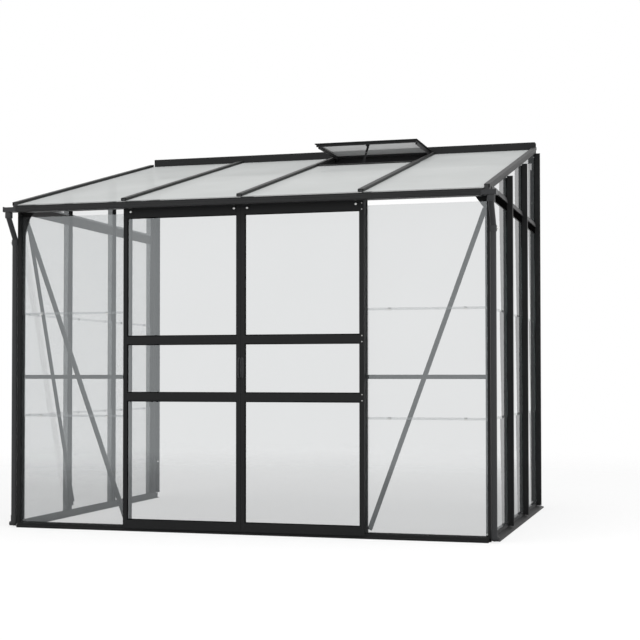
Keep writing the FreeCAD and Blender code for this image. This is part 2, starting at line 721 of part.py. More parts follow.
def roof_panels():
    """Roof glazing, one sheet to a bay; the sheet in the vent's bay stops at the vent's sill."""
    edge = "(web_thick / 2 + pane_gap)"
    outer = f"({CAP_INNER} - 6)"
    depth = ("bar_proud", "bar_proud + panel_thick")
    spans = (
        (f"-{outer}", f"-bay_pitch - {edge}"),
        (f"-bay_pitch + {edge}", f"-{edge}"),
        (f"bay_pitch + {edge}", outer),
    )
    keep("roof_panels", group(*[sloped(span, ("-roof_nose", "ridge_face"), depth) for span in spans]))
    vent_end = f"{VENT_SILL} + vent_sill_wide - 3"
    keep("roof_panel_vent", sloped((edge, f"bay_pitch - {edge}"), ("-roof_nose", vent_end), depth))


def roof_vent():
    """Opening roof light: fixed sill and head, and a hinged flap held up by a stay."""
    cap = "(bar_width / 2 + fit)"
    sill_end = f"{VENT_SILL} + vent_sill_wide"
    sill = sloped((cap, f"bay_pitch - {cap}"), (VENT_SILL, sill_end), ("bar_proud - 6", "bar_proud"))
    lip = sloped((f"{cap} + 5.5", f"bay_pitch - {cap} - 5.5"), (f"{sill_end} - 3", sill_end),
                 ("bar_proud", "bar_proud + panel_thick + 4"))
    keep("vent_sill_bar", joined(sill, lip))

    middle = "bay_pitch / 2"
    fixed_starts = ("knuckle_inset", f"{middle} - knuckle_long / 2",
                    "bay_pitch - knuckle_inset - knuckle_long")
    moving_starts = ("knuckle_inset + knuckle_long + fit",
                     "bay_pitch - knuckle_inset - 2 * knuckle_long - fit")
    head = [box((cap, f"bay_pitch - {cap}"), ("ridge_face - 8", "ridge_face"),
                (f"{HINGE_Z} - 12.5", f"{HINGE_Z} + 11"))]
    for start in fixed_starts:
        span = (start, f"{start} + knuckle_long")
        head.append(rod("x", "knuckle", (HINGE_Y, HINGE_Z), span))
        head.append(box(span, (HINGE_Y, "ridge_face - 8"), (f"{HINGE_Z} - 2.5", f"{HINGE_Z} + 2.5")))
    pin_span = ("knuckle_inset - 4", "bay_pitch - knuckle_inset + 4")
    keep("vent_head_bar", cut(joined(*head), rod("x", "hinge_pin + fit / 10", (HINGE_Y, HINGE_Z), pin_span)))
    keep("vent_hinge_pin", rod("x", "hinge_pin", (HINGE_Y, HINGE_Z), pin_span))

    side = f"({cap} + fit)"
    depth = (f"{HINGE_Z} - flap_deep", f"{HINGE_Z} + flap_over")
    free = f"{HINGE_Y} - flap_long"
    head_rail = (f"{HINGE_Y} - 9 - flap_side", f"{HINGE_Y} - 9")
    frame = [
        box((side, f"{side} + flap_side"), (free, f"{HINGE_Y} - 9"), depth),
        box((f"bay_pitch - {side} - flap_side", f"bay_pitch - {side}"), (free, f"{HINGE_Y} - 9"), depth),
        box((side, f"bay_pitch - {side}"), (free, f"{free} + 10"),
            (f"{HINGE_Z} - flap_deep + 4", f"{HINGE_Z} + flap_over")),
        box((side, f"bay_pitch - {side}"), head_rail, (f"{HINGE_Z} - 10", f"{HINGE_Z} + flap_over")),
    ]
    for start in moving_starts:
        span = (start, f"{start} + knuckle_long")
        frame.append(rod("x", "knuckle", (HINGE_Y, HINGE_Z), span))
        frame.append(box(span, (f"{HINGE_Y} - 9.5", HINGE_Y), (f"{HINGE_Z} - 2.5", f"{HINGE_Z} + 2.5")))
    bore = rod("x", "hinge_pin + running", (HINGE_Y, HINGE_Z), pin_span)
    closed = "cos(roof_pitch * 1deg)"
    over_sill = f"({HINGE_Z} - ({HINGE_Z} - {roof(HINGE_Y)} + bar_proud - 6) * {closed} + 3 * fit)"
    past_sill = f"({free} + flap_long - ({HINGE_Y} - ({sill_end})) / {closed} + 3 * fit)"
    under_rail = f"{HINGE_Z} - flap_deep - 1"
    notches = []
    for rail in ((side, f"{side} + flap_side"), (f"bay_pitch - {side} - flap_side", f"bay_pitch - {side}")):
        notches.append(box(rail, (f"{free} - 1", f"{free} + 10"),
                           (under_rail, f"{HINGE_Z} - flap_deep + 4")))
        notches.append(box(rail, (f"{free} + 10", past_sill), (under_rail, over_sill)))
    keep("vent_flap_frame", cut(joined(*frame), bore, *notches))
    keep("vent_flap_panel", box((f"{side} + flap_side", f"bay_pitch - {side} - flap_side"),
                                (f"{free} + 10", head_rail[0]), (f"{HINGE_Z} - 1",
                                                                 f"{HINGE_Z} - 1 + panel_thick")))

    pivot = (f"{HINGE_Y} - flap_long + stay_back", f"{HINGE_Z} - stay_drop")
    ear = f"({middle} - stay_wide / 2 - 3)"
    ears = [
        box(span, (f"{pivot[0]} - 7", f"{pivot[0]} + 7"), (f"{pivot[1]} - 5", f"{HINGE_Z} - 1"))
        for span in ((ear, f"{ear} + 2"), (f"bay_pitch - {ear} - 2", f"bay_pitch - {ear}"))
    ]
    web = box((ear, f"bay_pitch - {ear}"), (f"{free} + 10", f"{pivot[0]} + 7"),
              (f"{HINGE_Z} - 3.4", f"{HINGE_Z} - 1"))
    hole = rod("x", "2 + fit / 10", pivot, (f"{ear} - 1", f"bay_pitch - {ear} + 1"))
    pin = rod("x", "2", pivot, (f"{ear} - 1.5", f"bay_pitch - {ear} + 1.5"))
    keep("stay_bracket", group(cut(joined(web, *ears), hole), pin))
    arm_x = (f"{middle} - stay_wide / 2", f"{middle} + stay_wide / 2")
    eye = rod("x", "stay_thick / 2 + 2.4", pivot, arm_x)
    lean_start = f"({pivot[1]} - stay_straight)"
    outline = [
        (arm_x[0], pivot[1]),
        (arm_x[0], lean_start),
        (f"{arm_x[0]} - stay_lean", f"{pivot[1]} - stay_long"),
        (f"{arm_x[1]} - stay_lean", f"{pivot[1]} - stay_long"),
        (arm_x[1], lean_start),
        (arm_x[1], pivot[1]),
    ]
    strap = prism("XZ", outline, (f"{pivot[0]} + 0.6", f"{pivot[0]} + 0.6 + stay_thick"))
    eye_hole = rod("x", "2 + running", pivot, (f"{ear} - 1", f"bay_pitch - {ear} + 1"))
    peg_holes = [
        rod("y", "2.5", (f"{middle} - stay_lean * {share}",
                         f"{lean_start} - (stay_long - stay_straight) * {share}"),
            (pivot[0], f"{pivot[0]} + 2 + stay_thick"))
        for share in (0.3, 0.6, 0.9)
    ]
    keep("casement_stay", cut(joined(eye, strap), eye_hole, *peg_holes))


def leaning_pane(plane, side, top_face, span, low, high):
    """One pane of a lapped wall: its foot stands further out than its head."""
    lean = f"(({high}) - ({low})) / (lap_high - lap_low) * pane_lean"
    foot = f"({top_face} + {lean})"
    outline = [
        (f"{side} * ({top_face} - pane_thick)", high),
        (f"{side} * ({top_face})", high),
        (f"{side} * {foot}", low),
        (f"{side} * ({foot} - pane_thick)", low),
    ]
    return prism(plane, outline, span)


def pane_levels(top):
    """Foot and head of the three panes, one above the other, that fill a wall bay."""
    foot = "(groove_floor + 2)"
    return ((foot, "lap_low + lap_cover"), ("lap_low", "lap_high + lap_cover"), ("lap_high", top))


def front_glass(side):
    """The lapped panes of the fixed bay beside the doors."""
    span = mirrored(side, "bay_pitch + web_thick / 2 + pane_gap", f"{FRONT_SILL_END} - 2 * pane_gap - 2")
    return [leaning_pane("YZ", -1, "-glass_face", span, low, high) for low,
            high in pane_levels("front_pane_top")]


def side_glass(name, side):
    """The lapped panes of a side wall, and the gable panes over its eaves rails."""
    clear = "(web_thick / 2 + pane_gap)"
    starts = [f"{CORNER_BLOCK} + pane_gap"] + [
        f"side_start + {bay} * bay_pitch + {clear}" for bay in range(1, SIDE_BAYS)
    ]
    ends = [f"side_start + {bay} * bay_pitch - {clear}" for bay in range(1, SIDE_BAYS + 1)]
    gable_foot = "side_bar_low + side_bar_tall"
    panes = []
    for span in zip(starts, ends):
        for low, high in pane_levels("side_bar_low - pane_gap"):
            panes.append(leaning_pane("XZ", side, SIDE_GLASS, span, low, high))
        panes.append(upright(mirrored(side, SIDE_BACK, SIDE_GLASS), span, gable_foot,
                             "bar_proud + panel_thick + 3.6"))
    keep(f"side_glass_{name}", group(*panes))


def lap_clip(plane, side, face, centre, level):
    """Sprung clip that hooks the foot of an upper pane over the head of the pane below it."""
    thin = "0.5"
    slack = "0.25"
    lean = "(lap_cover / (lap_high - lap_low) + 1) * pane_lean"
    head = f"({level} + lap_cover)"
    foot_face = f"({face} + {lean} + {slack})"
    back_face = f"({face} - pane_thick - {slack})"
    outline = [
        (foot_face, f"{level} + 5"),
        (foot_face, f"{level} - {slack}"),
        (f"{face} + {slack} + {thin}", f"{level} - {slack}"),
        (f"{face} + {slack} + {thin}", f"{head} + {slack} + {thin}"),
        (f"{back_face} - {thin}", f"{head} + {slack} + {thin}"),
        (f"{back_face} - {thin}", f"{head} - 5"),
        (back_face, f"{head} - 5"),
        (back_face, f"{head} + {slack}"),
        (f"{face} + {slack}", f"{head} + {slack}"),
        (f"{face} + {slack}", f"{level} - {slack} - {thin}"),
        (f"{foot_face} + {thin}", f"{level} - {slack} - {thin}"),
        (f"{foot_face} + {thin}", f"{level} + 5"),
    ]
    outline = [(f"{side} * ({across})", up) for across, up in outline]
    return prism(plane, outline, (f"{centre} - clip_wide / 2", f"{centre} + clip_wide / 2"))


def lap_clips():
    """Two clips at each lap of every lapped bay."""
    clips = []
    for level in ("lap_low", "lap_high"):
        for share in (0.2, 0.8):
            for _, side in SIDES:
                clips.append(lap_clip("YZ", -1, "-glass_face", f"{side} * (1 + {share}) * bay_pitch", level))
                for bay in range(SIDE_BAYS):
                    centre = f"(side_start + bay_pitch * {bay + share})"
                    clips.append(lap_clip("XZ", side, SIDE_GLASS, centre, level))
    keep("lap_clips", group(*clips))


def mid_bar(side):
    """Stiffening bar behind the glass of a fixed front bay."""
    span = mirrored(side, "bay_pitch + web_thick / 2", f"{CORNER_INNER} - web_thick - fit")
    return box(span, (FRONT_FLANGE[1], "web_inner"), ("mid_bar_low", "mid_bar_low + mid_bar_tall"))


def angle_brace(plane, side, offset, head, foot, leg_side):
    """Diagonal of angle section, laid flat against the uprights' webs, between two points."""
    run = f"(({head[0]}) - ({foot[0]}))"
    rise = f"(({head[1]}) - ({foot[1]}))"
    length = f"sqrt({run} ^ 2 + {rise} ^ 2)"
    flat = doc.addObject("Part::Box", "Flat")
    leg = doc.addObject("Part::Box", "Leg")
    for piece, wide, deep in ((flat, "brace_wide", "brace_thick"), (leg, "brace_thick", "brace_leg")):
        piece.setExpression("Length", bound(wide))
        piece.setExpression("Width", bound(deep))
        piece.setExpression("Height", bound(length))
    flat.setExpression("Placement.Base.x", bound("-brace_wide / 2"))
    leg.setExpression("Placement.Base.x",
                      bound(f"{leg_side} * (brace_wide - brace_thick) / 2 - brace_thick / 2"))
    bar = joined(flat, leg)
    lean = f"atan({run} / {rise})"
    if plane == "XZ":
        bar.Placement.Rotation = FreeCAD.Rotation(FreeCAD.Vector(0, side, 0), 20)
        places = (f"{side} * ({foot[0]})", offset, foot[1])
        bar.setExpression("Placement.Rotation.Angle", bound(lean))
        piece = bar
    else:
        bar.Placement.Rotation = FreeCAD.Rotation(FreeCAD.Vector(0, 1, 0), 20)
        bar.setExpression("Placement.Rotation.Angle", bound(f"-({lean})"))
        piece = doc.addObject("Part::Compound", "Turned")
        piece.Links = [bar]
        piece.Placement.Rotation = FreeCAD.Rotation(FreeCAD.Vector(0, 0, 1), -90)
        places = (offset, foot[0], foot[1])
    for axis, place in zip("xyz", places):
        piece.setExpression(f"Placement.Base.{axis}", bound(f"({place}) * 1mm"))
    return piece


def braces():
    """Wind braces of the two fixed front bays and of the left side wall, and the corner gussets."""
    diagonals = []
    gussets = []
    knees = []
    for _, side in SIDES:
        head = (f"({CORNER_INNER} - 16)", "(front_pane_top - 31)")
        foot = ("(bay_pitch + 20)", "(sill_inner + 12)")
        diagonals.append(angle_brace("XZ", side, "web_inner", head, foot, 1))
        tip = f"({CORNER_INNER} - gusset_wide)"
        edge = f"({CORNER_INNER} - web_thick - fit)"
        top = "(eave_soffit - 3)"
        low = f"{top} - gusset_tall"
        outline = [(tip, top), (edge, top), (edge, low), (f"{edge} - gusset_tip", low)]
        outline = [(f"{side} * ({x})", z) for x, z in outline]
        gussets.append(prism("XZ", outline, (BEAM_BACK[1], f"{BEAM_BACK[1]} + flange_thick")))
        knee = [
            (f"{CORNER_LEG} - knee_lap", "side_bar_low - knee_drop"),
            (CORNER_LEG, "side_bar_low - knee_drop"),
            (f"{CORNER_LEG} + knee_wide", "side_bar_low"),
            (f"{CORNER_LEG} + knee_wide", "side_bar_low + knee_rise"),
            (f"{CORNER_LEG} - knee_lap", "side_bar_low + knee_lap"),
        ]
        tab = [
            (f"{CORNER_LEG} + fit", "side_bar_low"),
            (f"{CORNER_LEG} + knee_wide", "side_bar_low"),
            (f"{CORNER_LEG} + knee_wide", "side_bar_low + knee_rise"),
            (f"{CORNER_LEG} + fit", "side_bar_low + 2 * knee_lap"),
        ]
        plate_x = mirrored(side, f"{SIDE_FLANGE[0]} - flange_thick", SIDE_FLANGE[0])
        knees.append(joined(prism("YZ", knee, plate_x), prism("YZ", tab, mirrored(side, *SIDE_FLANGE))))
    keep("front_braces", group(*diagonals))
    keep("front_gussets", group(*gussets))
    keep("side_gussets", group(*knees))
    head = (f"({CORNER_LEG} + 6)", "(side_bar_low - 30)")
    foot = ("(side_start + bay_pitch + 8)", "(side_stop + 30)")
    keep("side_brace_left", angle_brace("YZ", -1, f"-{WEB_EDGE}", head, foot, 1))


def door_leaf(name, side):
    """One sliding leaf: stiles, rails, three panes, hanging rollers, guides and a pull handle."""
    gap = "pane_gap"
    depth = ("-leaf_front", "-leaf_front + leaf_thick")
    rail_top = "(leaf_foot + bottom_rail)"
    stile_z = (rail_top, "leaf_top")
    inner = mirrored(side, gap, f"{gap} + stile")
    outer = mirrored(side, f"{LEAF_WIDE} - stile", LEAF_WIDE)
    keep(f"door_{name}_stiles", group(box(inner, depth, stile_z), box(outer, depth, stile_z)))

    between = mirrored(side, f"{gap} + stile", f"{LEAF_WIDE} - stile")
    rail_two_top = "rail_two + mid_rail"
    rail_one_top = "rail_one + mid_rail"
    shell = box(mirrored(side, gap, LEAF_WIDE), depth, ("leaf_foot", rail_top))
    slot = box(mirrored(side, f"{gap} - 1", f"{LEAF_WIDE} + 1"),
               (f"{depth[0]} + sill_wall", f"{depth[1]} - sill_wall"),
               ("leaf_foot - 1", "leaf_foot + bottom_rail / 2"))
    rails = [
        box(between, depth, ("leaf_top - top_rail", "leaf_top")),
        box(between, depth, ("rail_two", rail_two_top)),
        box(between, depth, ("rail_one", rail_one_top)),
        cut(shell, slot),
    ]
    keep(f"door_{name}_rails", group(*rails))

    middle = "-leaf_front + leaf_thick / 2"
    glass_y = (f"{middle} - pane_thick / 2", f"{middle} + pane_thick / 2")
    panes = [
        box(between, glass_y, (rail_top, "rail_one")),
        box(between, glass_y, (rail_one_top, "rail_two")),
        box(between, glass_y, (rail_two_top, "leaf_top - top_rail")),
    ]
    keep(f"door_{name}_glass", group(*panes))

    wheel_z = "(track_lip + track_wall + wheel_radius + fit)"
    wheel_back = "(-leaf_front + wheel_back)"
    face = "-leaf_front - hanger_thick"
    wheels_at = {"inner": f"{gap} + wheel_inner", "outer": f"{LEAF_WIDE} - wheel_inset"}
    brackets = []
    bolts = [
        rod("y", "bolt_radius * 0.6", (f"{side} * ({LEAF_WIDE} - stile / 2)", level),
            ("-leaf_front - 1.5", "-leaf_front"))
        for rail in ("rail_one", "rail_two")
        for level in (f"{rail} + 5.5", f"{rail} + mid_rail - 5.5")
    ]
    for place, from_middle in wheels_at.items():
        x = f"{side} * ({from_middle})"
        plate = box((f"{x} - hanger_half", f"{x} + hanger_half"), (face, "-leaf_front"),
                    ("leaf_top - hanger_lap", f"{wheel_z} + hanger_over"))
        axle = rod("y", "axle_radius", (x, wheel_z), (face, f"{wheel_back} + axle_radius / 2"))
        brackets.append(joined(plate, axle))
        bolts.append(rod("y", "bolt_radius", (x, "leaf_top - hanger_lap + 20"),
                         (f"{face} - bolt_head", face)))
        disc = rod("y", "wheel_radius", (x, wheel_z), (f"{wheel_back} - wheel_wide", wheel_back))
        bore = rod("y", "axle_radius + running", (x, wheel_z),
                   (f"{wheel_back} - wheel_wide - 1", f"{wheel_back} + 1"))
        keep(f"door_{name}_wheel_{place}", cut(disc, bore))
    keep(f"door_{name}_hangers", group(*brackets))
    keep(f"door_{name}_bolts", group(*bolts))

    slot_half = "(sill_wall / 2 + 3 * fit)"
    guides = []
    for start in (f"{gap} + wheel_inset", f"{LEAF_WIDE} - wheel_inset - 40"):
        span = mirrored(side, start, f"{start} + 40")
        block = box(span, (f"{depth[0]} + sill_wall", f"{depth[1]} - sill_wall"),
                    ("leaf_foot + 2", "leaf_foot + bottom_rail / 2"))
        groove = box(mirrored(side, f"{start} - 1", f"{start} + 41"),
                     (f"{middle} - {slot_half}", f"{middle} + {slot_half}"), ("leaf_foot",
                                                                              "guide_rib + 3 * fit"))
        guides.append(cut(block, groove))
    keep(f"door_{name}_guides", group(*guides))

    handle_z = ("handle_low", "handle_low + handle_tall")
    plate = box(mirrored(side, f"{gap} + 2", f"{gap} + 16"), ("-leaf_front - 2.5", "-leaf_front"), handle_z)
    grip = box(mirrored(side, f"{gap} + 2", f"{gap} + 4.5"),
               ("-leaf_front - 2.5 - handle_grip", "-leaf_front - 2.5"),
               handle_z)
    keep(f"door_{name}_handle", joined(plate, grip))


def frame_bolts():
    """Bright bolt heads that show on the jambs, at the feet of the corners and on the pipe collars."""
    heads = []
    for _, side in SIDES:
        for level in ("eave_back - 22", "eave_back - 53", "sill_stop + 31", "sill_stop + 5"):
            heads.append(rod("y", "bolt_radius * 0.7", (f"{side} * bay_pitch", level),
                             ("-post_front - bolt_head * 0.7", "-post_front")))
        collar = mirrored(side, f"{PIPE_X} + collar_radius", f"{PIPE_X} + collar_radius + bolt_head")
        heads.append(rod("x", "bolt_radius", ("-pipe_y", "collar_low + collar_tall / 2"), collar))
        foot = mirrored(side, CAP_STEP, f"{CAP_STEP} + bolt_head")
        heads.append(rod("x", "bolt_radius", ("post_cap / 2", "sill_stop + 27"), foot))
        heads.append(rod("y", "bolt_radius", (f"{side} * ({CORNER_INNER} - 8)", "sill_inner + 8"),
                         (FRONT_FLANGE[1], f"{FRONT_FLANGE[1]} + bolt_head")))
    keep("frame_bolts", group(*heads))


def brace_bolts():
    """Bolts with spacers that tie the braces' ends to the flanges behind the glass."""
    bolts = []
    for _, side in SIDES:
        head_x = f"{side} * ({CORNER_INNER} - 11)"
        foot_x = f"{side} * (bay_pitch + 12)"
        bolts.append(rod("y", "bolt_radius", (head_x, "eave_back - 62"),
                         (f"{BEAM_BACK[1]} + flange_thick", "web_inner")))
        bolts.append(rod("y", "bolt_radius", (foot_x, "sill_inner + 6"), (FRONT_FLANGE[1], "web_inner")))
    keep("brace_spacers", group(*bolts))


front_sill()
eave_beam()
roller_track()
gutter()
ridge_bar()
roof_panels()
roof_vent()
braces()
side_mullions()
for name, side in SIDES:
    side_sill(name, side)
    corner_post(name, side)
    wall_post(name, side)
    end_roof_bar(name, side)
    side_glass(name, side)
    door_leaf(name, side)
keep("jamb_posts", group(*[jamb_post(side) for _, side in SIDES]))
keep("side_eave_bars", group(*side_eave_bars(-1), *side_eave_bars(1)))
keep("gutter_outlets", group(*[gutter_outlet(side) for _, side in SIDES]))
keep("front_glass", group(*front_glass(-1), *front_glass(1)))
keep("mid_bars", group(*[mid_bar(side) for _, side in SIDES]))
keep("roof_bars", group(*[roof_bar(column) for column in range(1 - FRONT_BAYS // 2, FRONT_BAYS // 2)]))
for node, pair in zip(("swan_necks", "downpipes", "pipe_collars", "pipe_shoes"),
                      zip(rain_pipe(-1), rain_pipe(1))):
    keep(node, group(*pair))
lap_clips()
frame_bolts()
brace_bolts()

doc.recompute()
for item in doc.Objects:
    if "Invalid" in item.State or "Error" in item.State:
        raise RuntimeError(f"{item.Label} ({item.Name}) did not compute: {item.State}")
for node, piece in nodes.items():
    if piece.Shape.isNull() or not piece.Shape.isValid():
        raise RuntimeError(f"{node} has no valid shape")
for node, piece in nodes.items():
    piece.Shape.exportStep(f"parts/{node}.step")
print(len(nodes), "pieces written")
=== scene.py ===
import math

import bpy
import numpy as np
from mathutils import Euler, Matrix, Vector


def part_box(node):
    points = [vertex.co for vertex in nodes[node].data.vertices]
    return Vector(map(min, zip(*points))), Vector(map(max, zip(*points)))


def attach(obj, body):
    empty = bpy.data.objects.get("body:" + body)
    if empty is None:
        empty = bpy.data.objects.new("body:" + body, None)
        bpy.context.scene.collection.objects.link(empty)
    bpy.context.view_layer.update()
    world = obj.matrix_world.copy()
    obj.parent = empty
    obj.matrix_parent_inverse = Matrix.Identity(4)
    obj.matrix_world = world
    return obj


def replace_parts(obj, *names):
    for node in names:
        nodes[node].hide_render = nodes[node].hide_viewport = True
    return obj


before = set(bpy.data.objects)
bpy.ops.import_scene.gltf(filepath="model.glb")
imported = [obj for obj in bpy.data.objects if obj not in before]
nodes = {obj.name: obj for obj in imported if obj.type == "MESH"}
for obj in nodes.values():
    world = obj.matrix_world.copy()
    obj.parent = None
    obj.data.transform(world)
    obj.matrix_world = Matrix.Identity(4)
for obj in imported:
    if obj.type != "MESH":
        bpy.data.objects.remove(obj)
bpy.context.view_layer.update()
scene = bpy.context.scene
scene.view_settings.view_transform = "Standard"


# Viewpoint: someone of sitting height stands well back and to the right of the front.
# The lens is long, so the front stays nearly square and the right wall closes up.

SENSOR_MM = 36
FRAME_PX = 640
FOCAL_PX = 1431.75
SHIFT_PX = (43.4, 21.55)
EYE_POINT = (2.2345, -6.7945, 0.7840)
LOOK_UP = 0.02458
LOOK_LEFT = 0.29400

camera_data = bpy.data.cameras.new("viewpoint")
camera_data.sensor_width = SENSOR_MM
camera_data.lens = SENSOR_MM * FOCAL_PX / FRAME_PX
camera_data.shift_x = SHIFT_PX[0] / FRAME_PX
camera_data.shift_y = SHIFT_PX[1] / FRAME_PX
camera_data.clip_end = 200
camera = bpy.data.objects.new("viewpoint", camera_data)
camera.location = EYE_POINT
camera.rotation_euler = Euler((math.pi / 2 + LOOK_UP, 0, LOOK_LEFT))
scene.collection.objects.link(camera)
scene.camera = camera


# Ground: a pale, matt studio floor that fades out into the white backdrop. It keeps the soft
# shadow at the foot of the sills, and is greyer in reflections than it is to the eye.

def new_material(name):
    """An empty node tree with its output; gives the material, its nodes, links and output."""
    material = bpy.data.materials.new(name)
    material.use_nodes = True
    tree = material.node_tree
    tree.nodes.clear()
    output = tree.nodes.new("ShaderNodeOutputMaterial")
    return material, tree.nodes, tree.links, output


def put_node(shade, kind, values=None, **settings):
    """A shader node of one kind, with its settings and then the values of its input sockets."""
    node = shade.new(f"ShaderNode{kind}")
    for setting, value in settings.items():
        setattr(node, setting, value)
    for socket, value in (values or {}).items():
        node.inputs[socket].default_value = value
    return node


def put_mesh(name, points, faces, material):
    """A mesh object at the origin from an (n, 3) array of points and lists of corner numbers."""
    mesh = bpy.data.meshes.new(name)
    mesh.from_pydata(points.tolist(), [], faces)
    mesh.update()
    mesh.materials.append(material)
    piece = bpy.data.objects.new(name, mesh)
    scene.collection.objects.link(piece)
    return piece


FLOOR_TO_THE_EYE = (0.96, 0.96, 0.96, 1)
FLOOR_REFLECTED = (0.48, 0.48, 0.48, 1)
FLOOR_GLOW_SHARE = 0.72
FLOOR_FADES = (3.0, 8.5)
FLOOR_HALF = 9.0
FLOOR_CENTRE_Y = 0.5
FLOOR_Z = -0.0005

floor_paint, shade, wire, floor_out = new_material("studio_floor")
floor_ray = put_node(shade, "LightPath")
floor_tone = put_node(shade, "Mix", {"A": FLOOR_REFLECTED, "B": FLOOR_TO_THE_EYE}, data_type="RGBA")
floor_matt = put_node(shade, "BsdfPrincipled", {"Roughness": 0.9, "Specular IOR Level": 0.1})
floor_glow = put_node(shade, "Emission")
floor_share = put_node(shade, "Math", {1: FLOOR_GLOW_SHARE}, operation="MULTIPLY")
floor_mix = put_node(shade, "MixShader")
floor_place = put_node(shade, "TexCoord")
floor_reach = put_node(shade, "VectorMath", operation="LENGTH")
floor_fade = put_node(shade, "MapRange", {"From Min": FLOOR_FADES[0], "From Max": FLOOR_FADES[1],
                                          "To Min": 1.0, "To Max": 0.0},
                      interpolation_type="SMOOTHSTEP")
floor_gap = put_node(shade, "BsdfTransparent")
floor_cover = put_node(shade, "MixShader")
wire.new(floor_ray.outputs["Is Camera Ray"], floor_tone.inputs["Factor"])
wire.new(floor_ray.outputs["Is Camera Ray"], floor_share.inputs[0])
wire.new(floor_tone.outputs["Result"], floor_matt.inputs["Base Color"])
wire.new(floor_share.outputs[0], floor_mix.inputs["Fac"])
wire.new(floor_matt.outputs["BSDF"], floor_mix.inputs[1])
wire.new(floor_glow.outputs["Emission"], floor_mix.inputs[2])
wire.new(floor_place.outputs["Object"], floor_reach.inputs[0])
wire.new(floor_reach.outputs["Value"], floor_fade.inputs["Value"])
wire.new(floor_fade.outputs["Result"], floor_cover.inputs["Fac"])
wire.new(floor_gap.outputs["BSDF"], floor_cover.inputs[1])
wire.new(floor_mix.outputs["Shader"], floor_cover.inputs[2])
wire.new(floor_cover.outputs["Shader"], floor_out.inputs["Surface"])
floor_corners = FLOOR_HALF * np.array([[-1, -1, 0], [1, -1, 0], [1, 1, 0], [-1, 1, 0]], float)
floor_corners += (0, FLOOR_CENTRE_Y, FLOOR_Z)
put_mesh("studio_floor", floor_corners, [[0, 1, 2, 3]], floor_paint)


# Daylight: an even white surround and three broad lamps, overhead, in front and at the right.
# The surround is pure white to the eye, in reflections and through the glass, and dimmer as
# a light on the object.

SURROUND_AS_LIGHT = 0.62
SURROUND_AS_SEEN = 1.0

world = bpy.data.worlds.new("white_surround")
scene.world = world
world.use_nodes = True
shade, wire = world.node_tree.nodes, world.node_tree.links
shade.clear()
sky_out = put_node(shade, "OutputWorld")
sky = put_node(shade, "Background", {"Color": (1, 1, 1, 1)})
ray = put_node(shade, "LightPath")
seen = put_node(shade, "Math", operation="MAXIMUM")
seen_through = put_node(shade, "Math", operation="MAXIMUM")
level = put_node(shade, "MapRange", {"To Min": SURROUND_AS_LIGHT, "To Max": SURROUND_AS_SEEN})
wire.new(ray.outputs["Is Camera Ray"], seen.inputs[0])
wire.new(ray.outputs["Is Glossy Ray"], seen.inputs[1])
wire.new(seen.outputs[0], seen_through.inputs[0])
wire.new(ray.outputs["Is Transmission Ray"], seen_through.inputs[1])
wire.new(seen_through.outputs[0], level.inputs["Value"])
wire.new(level.outputs["Result"], sky.inputs["Strength"])
wire.new(sky.outputs["Background"], sky_out.inputs["Surface"])


def soft_lamp(name, place, turn, wide, power):
    """A square lamp of a given width and power, turned by Euler angles in degrees."""
    lamp = bpy.data.lights.new(name, "AREA")
    lamp.shape = "SQUARE"
    lamp.size = wide
    lamp.energy = power
    holder = bpy.data.objects.new(name, lamp)
    holder.location = place
    holder.rotation_euler = Euler([math.radians(angle) for angle in turn])
    holder.visible_glossy = False
    scene.collection.objects.link(holder)


soft_lamp("overhead_lamp", place=(0.3, -1.2, 6.5), turn=(8, 0, 0), wide=6.0, power=230)
soft_lamp("front_lamp", place=(-3.5, -6.5, 3.5), turn=(62, 0, -28), wide=3.5, power=80)
soft_lamp("side_lamp", place=(6.0, 0.5, 3.0), turn=(0, 68, 0), wide=4.0, power=110)


# Sills: extruded aluminium base rails with a satin black powder coat, screwed to the slab.
# Each has a sloping nose outside, a groove for the panes and an anchored foot inside.

CLOUDS_PER_M = 4.0
PEEL_PER_M = 900.0
PEEL_DEPTH = 0.0004


